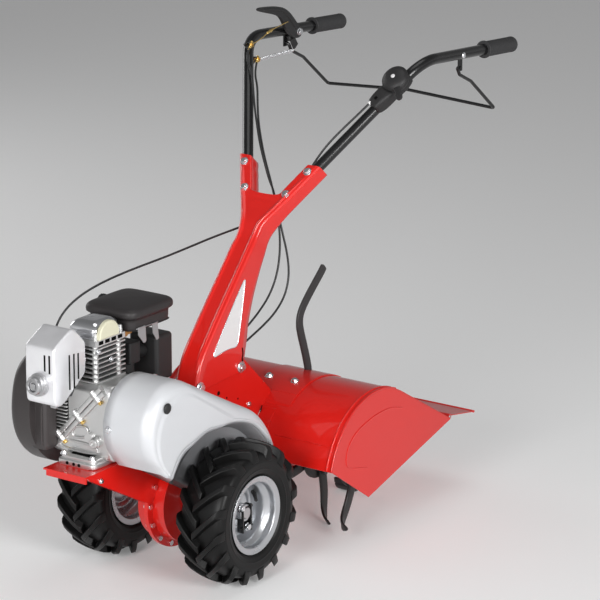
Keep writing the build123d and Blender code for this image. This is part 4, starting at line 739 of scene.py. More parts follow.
# Crankcase and cylinder: castings and small hardware on the frame's engine
casting = {
    "crank": (198, 411), "cylinder": (203, -67), "frontX": 260,
    # joint across the front: place, slope and half length, its two ledges, bosses and bolts along it
    "splitY": -67, "splitSlope": 46.3, "splitHalf": 98, "ledges": (-6.2, 6.2), "ledgeHalf": (5.4, 6.2),
    "ledgeOut": 1, "bosses": (-74, 0, 74), "bossOut": 3,
    "boss": [(0, -17), (6.4, -17), (8.2, -15.6), (8.2, -1), (7.6, -0.4), (7.6, 0.4), (8.2, 1), (8.2, 12.6),
             (7.2, 14), (0, 14)],
    "splitBolt": (9.5, 5, 6.6, 1.2), "splitBoltAcross": 13.5,
    # beads on the front, round a raised panel and along the foot: corners in Y and Z, distance out, radius
    "beads": [([(-83.5, 386), (-40.6, 392), (-43.4, 366.5), (-87.2, 360)], 2.0, 2.8),
              ([(-118, 352), (-18, 352), (-14, 330), (-122, 330)], 0.5, 3.0)],
    "ribHeights": range(372, 447, 8), "ribLine": [(261, -133), (262, -126), (262, -106), (261, -98)],
    "ribHalf": (1.6, 6),
    "drain": [(0, -6), (12.5, -6), (12.5, 3), (10.5, 4.5), (10.5, 9), (9.2, 10.5), (5, 10.5), (5, 7.5),
              (0, 7.5)],
    "drainPlace": (265.5, -18.6, 360.8),
    # base flange and feet: opposite corners and how square they are
    "base": [((182, -104, 316), (286, -7, 326), 0.22), ((184, -107, 305.3), (292.5, -2.5, 318), 0.2),
             ((118, -96, 316), (150, -24, 330), 0.22)],
    "portArm": [(254, -60, 540), (268, -64, 545), (288, -74, 556)], "portArmHalf": (11, 8),
    # painted shade in the hollows, dark blocks: opposite corners and edge
    "shadedHollows": [((258, -134, 366), (260.8, -97, 452), 0.6), ((192, -86, 325), (272, -26, 326.4), 0.3)],
    "baseBolt": (11, 5.5, 8.5, 1.5), "baseBolts": [(281, -96, 326), (281, -16, 326), (128, -60, 317)],
    "eye": [(0, 0.4), (2.76, 0.4), (3.12, 0.9), (3.54, 1.1), (3.84, 0.7), (3.84, -1), (0, -1)],
    "eyes": [(292.6, -77, 311), (292.6, -59, 311), (292.6, -44, 311)],
    # painted shade: a dark body between the cooling fins and dark pockets in the head: X, half length, low
    # and high Y and Z
    "finCore": ((163.5, -100.5, 491), (242.5, -33.5, 572)), "pockets": (170, 192, 214, 236),
    "pocketHalf": 8, "pocketLow": (-24, 575.5), "pocketHigh": (-21.6, 584.5),
    "headBolt": (8, 4, 6.2, 1.2), "headBolts": [(246, -22.2, 562), (204, -21.8, 536)],
    "stud": [(0, 0), (5.4, 0), (5.4, 8), (4.6, 9), (4.6, 15), (3.4, 16), (0, 16)],
    "studs": [(160, -30, 587), (246, -30, 587)],
}
splitLean = radians(casting["splitSlope"])
splitAim = (0, sin(splitLean), -cos(splitLean))


def splitPoint(along, across, out):
    y = casting["splitY"] + along * cos(splitLean) + across * sin(splitLean)
    z = casting["crank"][1] + along * sin(splitLean) - across * cos(splitLean)
    return casting["frontX"] + out, y, z


def crankcaseDetail():
    # two parallel ledges along the joint with a narrow dark line left between them, round bosses on both
    along = np.linspace(-casting["splitHalf"], casting["splitHalf"], 24)
    parts = []
    for across in casting["ledges"]:
        line = [splitPoint(step, across, casting["ledgeOut"]) for step in along]
        parts.append(swept(line, softBox(*casting["ledgeHalf"], 0.3), forward))
    for step in casting["bosses"]:
        parts.append(turned(casting["boss"], splitPoint(step, 0, casting["bossOut"]), splitAim, 28))
    for corners, out, radius in casting["beads"]:
        line = np.insert(rounded(corners), 0, casting["frontX"] + out, axis=1)
        parts.append(swept(line, circle(radius), forward, closed=True))
    ribSection = softBox(*casting["ribHalf"], 0.4, 16)
    for z in casting["ribHeights"]:
        parts.append(bar([(*spot, z) for spot in casting["ribLine"]], 12, ribSection, forward))
    parts.append(turned(casting["drain"], casting["drainPlace"], forward, 32))
    parts += [softBlock(*block) for block in casting["base"]]
    # an upper arm from the crankcase to the muffler port
    parts.append(bar(casting["portArm"], 14, softBox(*casting["portArmHalf"], 0.45), upward))
    return parts


addPiece("crankcaseDetail", crankcaseDetail(), castAlloy, "cast_aluminium")
# painted shade: dark blocks behind the ribs and in the pocket on the base
shadedHollows = [softBlock(low, high, 0.2, edge, 24) for low, high, edge in casting["shadedHollows"]]
addPiece("ribShade", shadedHollows, holeShade, "iron")
splitBolts = [splitPoint(step, casting["splitBoltAcross"], casting["bossOut"]) for step in casting["bosses"]]
addPiece("crankcaseScrews", hexHeads(casting["splitBolt"], splitBolts, splitAim), yellowZinc, "zinc")
addPiece("baseBolts", hexHeads(casting["baseBolt"], casting["baseBolts"], upward), zincPlate, "zinc")
# painted shade: dark eyes stand for the holes in the base
addPiece("baseEyes", [turned(casting["eye"], spot, forward) for spot in casting["eyes"]], holeShade, "iron")
# painted shade: a dark body fills the gaps between the cooling fins, dark pockets sit in the head
finShade = [softBlock(*casting["finCore"], 0.12, 2.0)]
for x in casting["pockets"]:
    low = (x - casting["pocketHalf"], *casting["pocketLow"])
    high = (x + casting["pocketHalf"], *casting["pocketHigh"])
    finShade.append(softBlock(low, high, 0.2, 0.8, 24))
addPiece("finShade", finShade, holeShade, "iron")
addPiece("headScrews", hexHeads(casting["headBolt"], casting["headBolts"], leftward), zincPlate, "zinc")
headStuds = [turned(casting["stud"], spot, upward) for spot in casting["studs"]]
addPiece("headStuds", headStuds, castAlloy, "cast_aluminium")
print("crankcase detail")

# Exhaust: a folded cover with slots, a stepped round boss round the outlet and a lug below
muffler = {
    # outline of the cover seen from the side, and how its size changes across about the middle
    "outline": [(371, 466), (382, 474), (385, 486), (385, 588), (384, 597), (378, 603), (331, 627),
                (321, 630), (312, 626), (284, 599), (278, 591), (277, 583), (277, 528), (280, 521),
                (287, 515), (340, 479), (353, 470)],
    "across": [(-112, 0.93), (-111.2, 0.965), (-108.5, 0.988), (-104, 1.0), (-40, 1.0), (-35, 0.99),
               (-32.8, 0.968), (-32, 0.935)],
    "middle": (335, 541),
    # slots, drawn as dark strips of painted shade, on the left side at X and on the front at Y, with their
    # lower and upper ends
    "slot": (2.4, 0.5), "sideY": -31.9, "sideSlots": [(333, 497, 575), (317.5, 496, 574), (303, 514, 572)],
    "frontX": 385, "frontSlots": [(-57.5, 547, 583), (-44.5, 543, 584)],
    "boss": [(0, 9), (10.5, 9), (11.4, 10), (11.6, 13.4), (12.6, 14.6), (15.5, 14.6), (18.2, 13.6),
             (19.3, 11.4), (19.3, 4.6), (20.4, 3.6), (23.2, 3.4), (24.4, 2.2), (24.4, -2), (25.6, -3),
             (25.6, -12), (0, -12)],
    "bossPlace": (396, -72, 516), "pipe": [(402, -72, 516), (409.6, -72, 516)], "pipeHalf": 6.2,
    "lug": ((352, -66, 457), (360, -50, 470)),
}


def mufflerShell():
    # one outline repeated across, drawn in towards both sides
    middle = np.array(muffler["middle"])
    spread = rounded(muffler["outline"]) - middle
    levels = [standing(middle + spread * size, y) for y, size in smoothLine(muffler["across"], 40)]
    return surface(np.array(levels), wrapCols=True, caps=True)


def mufflerSlots():
    x, y = muffler["frontX"], muffler["sideY"]
    ends = [((side, y, low), (side, y, high), leftward) for side, low, high in muffler["sideSlots"]]
    ends += [((x, side, low), (x, side, high), forward) for side, low, high in muffler["frontSlots"]]
    section = softBox(*muffler["slot"], 0.5, 16)
    return [swept(np.linspace(low, high, 3), section, up) for low, high, up in ends]


addPiece("mufflerShell", [mufflerShell()], mufflerSheet, "muffler_steel", "muffler_cover")
# painted shade: dark strips stand for the open slots
addPiece("mufflerSlots", mufflerSlots(), holeShade, "iron")
exhaustTrim = [turned(muffler["boss"], muffler["bossPlace"], forward, 48),
               swept(muffler["pipe"], softBox(muffler["pipeHalf"], muffler["pipeHalf"], 0.3)),
               softBlock(*muffler["lug"], 0.4, 2.0, 24)]
addPiece("exhaustTrim", exhaustTrim, shaftSteel, "muffler_steel")

# Valve cover, fuel cap, fan housing with its upright air duct, fuel tank and the bracket under it
covers = {
    # valve cover: half length and width, squareness, foot of the dome, its inward and upward reach
    "valveHalf": (46, 41), "valvePower": 0.36, "domeFoot": 601, "domeIn": 24, "domeRise": 23,
    # flange below the dome: inset and height, then the flat top in the same measures
    "valveFlange": [(40, 587.2), (-2.5, 587.2), (-3, 588.6), (-2.5, 590), (0, 590.6), (0, 601)],
    "valveTop": [(32, 624.8), (40.5, 625.2)],
    # fuel cap: radius, height and depth of the ribs
    "cap": [(0.01, 0.5, 0), (12, 0.5, 0), (14.2, 1, 0.3), (14.6, 3, 0.7), (14.6, 11, 0.7),
            (13.6, 13.4, 0.3), (11, 14.6, 0), (9, 13.8, 0), (0.01, 13.6, 0)],
    "capRibs": 14, "capPlace": (68, -143.4, 616),
    # fan housing: radius and a fuller stretch by direction, spread and share; rounded edge on the right
    "fanRadius": 132, "fullAt": 48.0, "fullOver": 26.0, "fullBy": 0.12, "fanLeft": -150, "fanRight": -212,
    "fanEdge": 22,
    # insets of its open left side, and a groove in its right side: inset and depth
    "fanBack": [60, 0], "groove": [(30, 0), (34, 4), (46, 4), (50, 0), (90, 0)],
    # air duct: height of each level and how much smaller it is there
    "duct": (287, -146), "ductHalf": (24, 23),
    "ductLevels": [(334, 0.09), (338, 0.024), (345, 0), (392, 0), (432, 0), (441, 0.024), (445, 0.09)],
    "ductRib": [(311, 345), (311.6, 390), (311, 436)], "ductRibs": (-160, -132), "ductRibRadius": 2.2,
    # tank from below: share of the plan and height
    "tank": (71, -73), "tankHalf": (82, 72.5), "tankPower": 0.32,
    "tankRise": [(0.0, 583), (0.84, 583), (0.875, 586), (0.888, 593), (0.895, 605), (0.93, 609.5),
                 (0.985, 613), (1.0, 617), (1.0, 622), (0.985, 626.5), (0.94, 630.5), (0.84, 633.5),
                 (0.55, 636), (0.25, 637), (0.0, 637.5)],
    "brackets": [[(125, 590), (99, 590), (96, 555), (100, 551), (106, 551), (124, 572)],
                 [(74, 588), (56, 588), (51, 550), (54, 547), (60, 547), (73, 566)]],
    "bracketY": -8.5, "bracketSheet": 1.7, "bracketTop": ((50, -30, 586), (127, -6.8, 588)),
}


def valveHood():
    # a rounded rectangle drawn in level by level along a quarter circle, a thin flange at its foot
    q = np.linspace(0, pi / 2, 14)[1:]
    dome = np.c_[covers["domeIn"] * (1 - np.cos(q)), covers["domeFoot"] + covers["domeRise"] * np.sin(q)]
    inset, z = np.concatenate([covers["valveFlange"], dome, covers["valveTop"]]).T
    levels = np.c_[np.array(covers["valveHalf"]) - inset[:, None], z]
    return stacked(levels, casting["cylinder"], covers["valvePower"], 64)


def ribbedCap():
    # a low cap whose skirt carries rounded ribs, its face drawn in
    radius, height, ripple = np.array(covers["cap"]).T[:, :, None]
    angle = fullTurn(96)
    ring = rings(radius + ripple * np.cos(covers["capRibs"] * angle), height, angle)
    return surface(ring @ facing((0, -1, 0)).T + covers["capPlace"], wrapCols=True, caps=True)


def fanDrum():
    # outline round the crank with a fuller upper front, drawn in along a rounded edge on its outer side
    angle = fullTurn(120)
    away = np.angle(np.exp(1j * (angle - radians(covers["fullAt"]))))
    fuller = covers["fullBy"] * np.exp(-(away / radians(covers["fullOver"]))**2)
    outline = covers["fanRadius"] * (1 + fuller)
    q = np.linspace(pi / 2, 0, 8)
    side = covers["fanRight"]
    inset, depth = np.transpose(covers["groove"])
    inset = np.concatenate([covers["fanBack"], covers["fanEdge"] * (1 - np.sin(q)), inset])
    y = np.concatenate([[covers["fanLeft"]] * 2, side + covers["fanEdge"] * (1 - np.cos(q)), side + depth])
    return surface(around(casting["crank"], outline - inset[:, None], y[:, None], angle), wrapCols=True)


def airDuct():
    line = [(*covers["duct"], z) for z, _ in covers["ductLevels"]]
    section = [softBox(*covers["ductHalf"], 0.45, 48) * (1 - less) for _, less in covers["ductLevels"]]
    ribSection = circle(covers["ductRibRadius"])
    ribs = [bar(standing(covers["ductRib"], y), 8, ribSection, forward) for y in covers["ductRibs"]]
    return [swept(line, section, forward), *ribs]


def fuelTank():
    # every level is the same rounded rectangle, larger or smaller
    rise = smoothLine(covers["tankRise"], 60)
    levels = np.c_[rise[:, :1] * covers["tankHalf"], rise[:, 1]]
    return stacked(levels, covers["tank"], covers["tankPower"], 96, caps=False)


addPiece("valveHood", [valveHood()], polishedAlloy, "polished_cover", "valve_cover")
addPiece("ribbedCap", [ribbedCap()], blackPlastic, "black_plastic", "fuel_cap", body="cap")
addPiece("fanShroud", [fanDrum(), *airDuct()], fanPlastic, "black_plastic", "fan_housing")
addPiece("tankShell", [fuelTank()], tankPlastic, "black_plastic", "fuel_tank")
tankBracket = [plateFrom(standing(edge, covers["bracketY"]), (0, covers["bracketSheet"], 0))
               for edge in covers["brackets"]]
tankBracket.append(softBlock(*covers["bracketTop"], 0.2, 0.6, 24))
addPiece("tankBracket", tankBracket, shaftSteel, "cast_aluminium")
print("engine covers")

# Column: one pressed sheet, its edges rolled over into side plates, forking into two narrow arms
column = {
    # stations from the base up the fork: X and Z of the side plates' front and rear, half width
    "stations": [(-31, 404, -211, 414, 31), (-38, 426, -214.5, 435, 31), (-58, 477.5, -226.5, 488, 31),
                 (-102, 532.5, -232.5, 523, 31), (-153.3, 591.4, -250.8, 577, 31),
                 (-201.5, 645, -275, 630, 31), (-241.5, 690, -296, 668, 31), (-266.5, 716.5, -311, 693, 30),
                 (-287, 746.6, -324, 714, 35), (-314.8, 775.8, -346, 748, 53.5),
                 (-341, 806, -371.2, 779.8, 74.3), (-367.2, 836.2, -397.4, 810, 93.7),
                 (-382.9, 854.3, -413, 828, 105.3), (-395, 868.2, -425.2, 842, 114.3)],
    # rise along the fork at its stations, measured from the fork's root
    "forkFrom": 8, "forkRise": [-80, -40, 0, 40, 63.8, 82.4],
    # rise along the fork and half width of the gap between the arms
    "gap": [(-6.8, 0), (-6.5, 14), (-6.0, 25), (-4.6, 32), (-2.6, 36.5), (0, 39.5), (4, 42), (16, 47.5),
            (45, 61.5), (90, 83.5)],
    # station where the gap's edge starts to turn into a flange, and over how much; rows lie closer there
    "openFrom": 9.83, "openOver": 0.12, "fineRows": (9.82, 10.05),
    "outerBend": 8.0, "innerBend": 4.0, "innerDepth": 38.0, "sheet": 1.8,
    # bead inside each edge: height, width, distance from the edge, stations between which it fades in and
    # out, the share left on the arms; crease across the fork's root
    "beadIn": (1.5, 3.0), "beadOut": (10.0, 12.0), "beadLeast": 0.25,
    "bead": 4.0, "beadWidth": 3.6, "beadInset": 11, "crease": 1.4, "creaseAt": -21, "creaseWidth": 3.2,
    "creaseHalf": 34,
    # plain panel on the left side plate and a slit below it, the slit drawn as a dark strip of painted
    # shade: X and Z
    "panel": [(-222.5, 637), (-215.5, 603), (-207.5, 559), (-197.5, 513), (-189.5, 476), (-159.5, 479),
              (-131.5, 478), (-93.5, 470), (-109.5, 497), (-141.5, 539), (-181.5, 589)],
    "panelY": 31.2, "panelThick": 0.7, "borderRadius": 1.1, "borderOut": 0.5,
    "slit": [(-208.7, 469), (-210.5, 455), (-208.1, 443), (-210, 434)], "slitY": 30.9,
    "slitHalf": (2.1, 0.9),
}


def columnHalf():
    # rows climb the column, columns run from the gap's flange over the front to the side plate's rear
    last = len(column["stations"]) - 1
    low, high = column["fineRows"]
    step = np.concatenate([np.linspace(0, low, 100), np.linspace(low, high, 30)[1:],
                           np.linspace(high, last, 36)[1:]])
    fine = np.linspace(0, last, 400)
    along = [np.interp(step, fine, measure)[:, None] for measure in smoothLine(column["stations"], 400).T]
    front, rear, half = np.hstack(along[:2]), np.hstack(along[2:4]), along[4]
    rise = np.interp(step, np.arange(column["forkFrom"], last + 1), column["forkRise"], left=-400)
    gap = np.interp(rise, *np.transpose(column["gap"]), left=0.0)[:, None]
    depth = np.linalg.norm(rear - front, axis=1)[:, None]
    back = (rear - front) / depth
    opened = np.clip((step - column["openFrom"]) / column["openOver"], 0, 1)[:, None]
    inner, bend = column["innerDepth"] * opened, column["innerBend"] * opened
    outerBend = column["outerBend"]
    flangeStrip = gap, bend + (inner - bend) * np.linspace(1, 0, 4)[:-1]
    q = np.linspace(0, pi / 2, 5)
    turnStrip = gap + bend * (1 - np.cos(q)), bend * (1 - np.sin(q))
    faceFrom, faceTo = gap + bend, half - outerBend
    faceY = faceFrom + (faceTo - faceFrom) * np.linspace(0, 1, 22)[1:-1]
    # the bead fades out towards the foot and along the arms
    fade = np.maximum(np.interp(step, column["beadOut"], (1, 0)), column["beadLeast"])
    fade = fade * np.interp(step, column["beadIn"], (0, 1))
    fromBead = (half - faceY - column["beadInset"]) / column["beadWidth"]
    bead = column["bead"] * np.exp(-fromBead**2) * fade[:, None]
    crease = column["crease"] * np.exp(-((rise[:, None] - column["creaseAt"]) / column["creaseWidth"])**2)
    faceStrip = faceY, crease * np.exp(-(faceY / column["creaseHalf"])**4) - bead
    q = np.linspace(0, pi / 2, 8)
    bendStrip = half - outerBend * (1 - np.sin(q)), outerBend * (1 - np.cos(q))
    sideStrip = half, outerBend + (depth - outerBend) * np.linspace(0, 1, 11)[1:]
    y, into = sideBySide(flangeStrip, turnStrip, faceStrip, bendStrip, sideStrip)
    return surface(np.stack([front[:, :1] + back[:, :1] * into, y, front[:, 1:] + back[:, 1:] * into], -1))


columnParts = [columnHalf()]
addPiece("pressedColumn", columnParts + mirrored(columnParts), redEnamel, "red_paint", "column",
         wall=column["sheet"], smooth=50)
panelEdge = standing(rounded(column["panel"]), column["panelY"])
panel = plateFrom(panelEdge, (0, column["panelThick"], 0))
borderLine = panelEdge + (0, column["borderOut"], 0)
border = swept(borderLine, circle(column["borderRadius"], 8), leftward, closed=True)
slit = bar(standing(column["slit"], column["slitY"]), 16, softBox(*column["slitHalf"], 0.6, 12))
addPiece("columnPanel", [panel], panelWhite, "guard_silver", smooth=30)
addPiece("panelBorder", [border], zincPlate, "guard_silver")
# painted shade: a dark strip stands for the slit
addPiece("columnSlit", [slit], holeShade, "iron")
print("column")

# Hood: beads pressed along its ends, an arc pressed into each end plate, a sheet closing the front notch
hood = {
    "middle": (-425, 160), "radius": 193,
    # beads along the ends: place across and radius, the angles between which they run
    "beads": [(245.5, 2.4), (258.8, 2.2)], "beadFrom": 14, "beadTo": 112, "beadLift": 0.4,
    "seamAt": 30.5, "seamFrom": 89, "seamTo": 243, "seamHalf": (1.2, 0.9), "seamLift": 0.2,
    "arc": [(-523.6, 285.2), (-476, 297), (-426.3, 296.8), (-384, 290), (-345.1, 278.4), (-322, 266),
            (-305.4, 249.3), (-297.5, 232), (-295.6, 214), (-303, 201), (-322, 192), (-348, 186),
            (-380, 178)],
    "arcY": 260.3, "arcHalf": (1.8, 1.1),
    # sheet beside the neck: angles, inner edge below and above the angle where it widens, outer edge
    "notch": (13.5, 49), "notchWidens": 34, "notchInner": (37.8, 24.5), "notchOuter": 62.5,
    # saddle under the depth lever: angles and edges across; then how both sheets lie: lift and thickness
    "saddle": (52, 118), "saddleEdges": (-22, 94), "notchLie": (0.8, 1.4), "saddleLie": (0.6, 1.6),
}


def onHood(degrees, y, lift=0.0):
    return around(hood["middle"], hood["radius"] + lift, y, np.radians(degrees))


def hoodPatch(degrees, lowY, highY, lift, thick):
    # a curved sheet lying on the hood: rows follow the arc, columns run across, with a rounded raised rim
    tuck = 0.5
    t = np.concatenate([[0, 0], np.linspace(0, 1, 12), [1, 1]])
    raised = np.array([-tuck, 0.5 * thick] + [thick] * 12 + [0.5 * thick, -tuck])
    lowY = np.broadcast_to(lowY, degrees.shape)[:, None]
    grid = onHood(degrees[:, None], lowY + (highY - lowY) * t)
    outward = (grid - (hood["middle"][0], 0, hood["middle"][1])) * (1, 0, 1)
    outward = outward / np.linalg.norm(outward, axis=-1, keepdims=True)
    inner = np.ones((len(degrees), 1))
    inner[[0, -1]] = 0.0
    return surface(grid + outward * (lift + raised * inner - tuck * (1 - inner))[:, :, None])


beadTurn = np.linspace(hood["beadFrom"], hood["beadTo"], 60)
notchTurn = np.linspace(*hood["notch"], 40)
notchLow = np.where(notchTurn > hood["notchWidens"], hood["notchInner"][1], hood["notchInner"][0])
seamLine = onHood(hood["seamAt"], np.linspace(hood["seamFrom"], hood["seamTo"], 24), hood["seamLift"])
arcLine = standing(smoothLine(hood["arc"], 60), hood["arcY"])
hoodParts = [swept(onHood(beadTurn, y, hood["beadLift"]), circle(radius), leftward)
             for y, radius in hood["beads"]]
hoodParts.append(swept(seamLine, softBox(*hood["seamHalf"], 0.6, 12), (1, 0, 0.6)))
hoodParts.append(swept(arcLine, softBox(*hood["arcHalf"], 0.6, 12), leftward))
hoodParts.append(hoodPatch(notchTurn, notchLow, hood["notchOuter"], *hood["notchLie"]))
hoodParts += mirrored(hoodParts)
hoodParts.append(hoodPatch(np.linspace(*hood["saddle"], 60), *hood["saddleEdges"], *hood["saddleLie"]))
addPiece("hoodPressings", hoodParts, redEnamel, "red_paint", smooth=40)

# Bolts seen on column, hood, neck and carrier, holes and a slit in the neck
fixings = {
    "large": (16.5, 7, 13.5, 2.2), "middle": (12.5, 6, 9.8, 1.8), "small": (8.5, 4, 6.2, 1.2),
    # on the column's front, on its side plates, on the hood by angle and place across, on neck and carrier
    "front": [(-341, 58, 806), (-382.9, 89, 854.2)], "frontAim": (0.7547, 0, 0.6561), "frontLift": 0.2,
    "sides": [(-47.2, 31.2, 414.8), (-201.5, 31.2, 424.7)],
    "hoodAt": 76.0, "hood": (-15.4, 57.4), "hoodLift": 2.2,
    "neck": [(-245.3, 22.0, 322.7), (283, 9.2, 283)],
    # holes in the neck, drawn as dark eyes of painted shade: place and size
    "eye": [(0, 0.3), (4.2, 0.3), (5, 0.6), (5.6, 0.2), (5.6, -0.4), (0, -0.4)],
    "eyes": [((-128.9, 22.2, 379.1), 0.9), ((-159.5, 22.2, 360.2), 0.45), ((-202.4, 22.2, 347.3), 0.4)],
    "slit": [(-290, 27, 309.7), (-288, 27, 304), (-284.5, 27, 297.4), (-287, 29, 291), (-289, 30, 286.3)],
    "slitHalf": (1.5, 0.6),
}
hoodTurn = radians(fixings["hoodAt"])
hoodSpots = onHood(fixings["hoodAt"], np.array(fixings["hood"]), fixings["hoodLift"])
frontSpots = np.array(fixings["front"]) + np.array(fixings["frontAim"]) * fixings["frontLift"]
frameHeads = hexHeads(fixings["middle"], frontSpots, fixings["frontAim"])
frameHeads += hexHeads(fixings["large"], fixings["sides"], leftward)
frameHeads += mirrored(frameHeads)
frameHeads += hexHeads(fixings["middle"], hoodSpots, (cos(hoodTurn), 0, sin(hoodTurn)))
frameHeads += hexHeads(fixings["small"], fixings["neck"], leftward)
addPiece("frameHeads", frameHeads, zincPlate, "zinc", "frame_bolts")
eye = np.array(fixings["eye"])
neckEyes = [turned(eye * (size, 1), spot, leftward, 20) for spot, size in fixings["eyes"]]
neckEyes.append(bar(fixings["slit"], 16, softBox(*fixings["slitHalf"], 0.6, 12)))
# painted shade: dark eyes and a dark strip stand for the holes and slit in the neck
addPiece("neckEyes", neckEyes, holeShade, "iron")
print("hood")

# Handle: ribbed grips, the reverse lever with its clamp, cable ends and clutch spring
handle = {
    "tip": (-1003, 247, 1067), "along": (-0.9981, 0.0, -0.0617), "gripLength": 128.0, "ribs": 20,
    # a grip's collar and its soft end, the bore closed inside; the ribs run between them
    "collar": [(0, 124), (13, 124), (13, 0), (19.8, 0), (20.8, 1), (20.8, 4.2), (19.8, 5.4), (17.4, 6.4),
               (17.4, 9)],
    "end": [(17.4, 118.5), (18.4, 119.6), (18.8, 121), (18.6, 124), (17.4, 126), (14.6, 127.5), (9, 128),
            (0, 128)],
    "ribsFrom": 10, "ribsTo": 117, "ribRadius": 17.4, "ribRise": 1.1,
    # outline of the reverse lever from its tip over the back and round the hub: X and Z
    "lever": [(-621, 1155), (-626, 1160), (-659.5, 1157.5), (-700, 1152.6), (-727, 1145), (-750, 1131),
              (-773, 1108.5), (-797, 1083), (-801, 1070), (-787, 1061.5), (-764, 1066), (-741, 1085),
              (-728, 1103), (-717, 1119), (-704, 1130), (-668, 1140), (-634, 1149)],
    "leverY": -226.0, "leverThick": 9.0, "leverBevel": 2.2,
    "leverRidge": [(-640, -221.4, 1153), (-668, -221.2, 1150.5), (-702, -221.2, 1144), (-728, -221.2, 1134),
                   (-748, -221.2, 1117), (-764, -221.2, 1099), (-777, -221.4, 1085)],
    "ridgeRadius": 2.2, "leverNut": (14, 6, 8.8, 1.6), "leverNutPlace": (-787, -221.4, 1078),
    # clamp: a collar round the tube, a short block under it and a thin lug beside the bail's eye
    "clamp": [(13.2, -17), (17.4, -17), (18.6, -15.4), (18.6, 15.4), (17.4, 17), (13.2, 17)],
    "clampPlace": (-789, -247, 1079), "blockHalf": (9, 5.8), "lugHalf": (9.8, 2.8),
    "clampBlock": [(-775, -241, 1069), (-776.5, -240, 1063), (-778, -239, 1057.5)],
    "clampLug": [(-777, -233.6, 1062), (-779, -233.6, 1056), (-784, -233.6, 1048), (-790, -233.6, 1040)],
    # cable ends: a threaded barrel, a hexagon nut and a small plate welded under the tube
    "barrel": [(0, -13), (2.4, -13), (2.4, -7), (3.6, -6), (3.6, -1), (4.4, 0), (4.4, 5), (3.4, 6),
               (3.4, 13), (2.2, 14), (0, 14)],
    "barrelOut": 4, "cableNut": (13, 4.5, 8, 1), "nutOut": 6,
    # along a plate: distance out along the cable and shift from there
    "plate": [(7, (0, 0, 0)), (6.4, (2, -6, 1)), (0, (3, -12, 0))], "plateHalf": (8.5, 1.6),
    "wire": [(-737.6, -219, 1110), (-700, -217.5, 1106), (-660, -216, 1100), (-620, -214, 1088),
             (-583, -213, 1081)], "wireRadius": 1.1,
    "nipple": [(0, -15), (2.2, -14), (3.6, -9), (2.6, -3), (4.2, 2), (3.0, 8), (2.0, 14), (0, 15)],
    "spring": [(-608, -212, 1040), (-787, -236.5, 1030)], "springRadius": 3.4, "springWire": 0.9,
    "springCoils": 26,
    "stud": [(0, 0), (7.2, 0), (7.2, 1.2), (6, 2.8), (3.4, 4), (0, 4.2)],
    "studPlace": (-770.4, 258.6, 1080),
}


def handGrip():
    low, high = handle["ribsFrom"], handle["ribsTo"]
    step = np.linspace(low, high, handle["ribs"] * 6 + 1)
    wave = np.abs(np.sin(pi * handle["ribs"] * (step - low) / (high - low)))
    ribs = np.c_[handle["ribRadius"] + handle["ribRise"] * wave**0.6, step]
    start = np.array(handle["tip"]) - np.array(handle["along"]) * handle["gripLength"]
    return turned(np.concatenate([handle["collar"], ribs, handle["end"]]), start, handle["along"], 40)


def reverseBlade():
    side = standing(rounded(handle["lever"]), handle["leverY"] - handle["leverThick"] / 2)
    ridge = bar(handle["leverRidge"], 40, circle(handle["ridgeRadius"]))
    return [plateFrom(side, (0, handle["leverThick"], 0)), ridge]


def leverClamp():
    return [turned(handle["clamp"], handle["clampPlace"], handle["along"], 40, closed=True),
            bar(handle["clampBlock"], 12, softBox(*handle["blockHalf"], 0.5)),
            bar(handle["clampLug"], 12, softBox(*handle["lugHalf"], 0.5))]


def coilSpring(first, last, radius, wireRadius, coils):
    # a helix between two points with straight ends that run to the axis
    t = np.linspace(0, 1, coils * 12 + 1)[:, None]
    side, top, along = facing(last - first).T
    size = radius * np.clip(np.minimum(t, 1 - t) * coils / 1.2, 0, 1)
    angle = 2 * pi * coils * t
    line = first + (last - first) * t + size * (np.cos(angle) * side + np.sin(angle) * top)
    return swept(line, circle(wireRadius, 6), side + top * 0.001 + along * 3)


addPair("handGrip", [handGrip()], gripRubber, "grip_rubber", "grip")
addPiece("reverseBlade", reverseBlade(), blackPlastic, "black_plastic", "reverse_lever",
         body="reverse_handle", bevel=handle["leverBevel"])
addPiece("clampBody", leverClamp(), blackPlastic, "black_plastic", "lever_clamp")
addPiece("leverNut", hexHeads(handle["leverNut"], [handle["leverNutPlace"]], leftward), zincPlate, "zinc")
barrels, nuts, plates = [], [], []
for node in ("reverse_cable", "clutch_cable"):
    spot, aim = cableStart(node)
    barrels.append(turned(handle["barrel"], spot + aim * handle["barrelOut"], aim, 20))
    nuts += hexHeads(handle["cableNut"], [spot + aim * handle["nutOut"]], aim)
    plateLine = [spot + aim * away + shift for away, shift in handle["plate"]]
    plates.append(bar(plateLine, 10, softBox(*handle["plateHalf"], 0.4, 20), aim))
addPiece("cableBarrels", barrels + nuts, yellowZinc, "zinc")
addPiece("cablePlates", plates, blackGloss, "black_paint")
wire = np.array(handle["wire"])
wireParts = [bar(wire, 40, circle(handle["wireRadius"], 8)),
             turned(handle["nipple"], wire[2], wire[1] - wire[3], 14)]
reverseWire = addPiece("reverseWire", wireParts, yellowZinc, "zinc", body="")
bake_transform(reverseWire)
springEnds = np.array(handle["spring"])
coil = coilSpring(*springEnds, handle["springRadius"], handle["springWire"], handle["springCoils"])
clutchSpring = addPiece("clutchSpring", [coil], zincPlate, "zinc", body="", smooth=180)
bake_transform(clutchSpring)

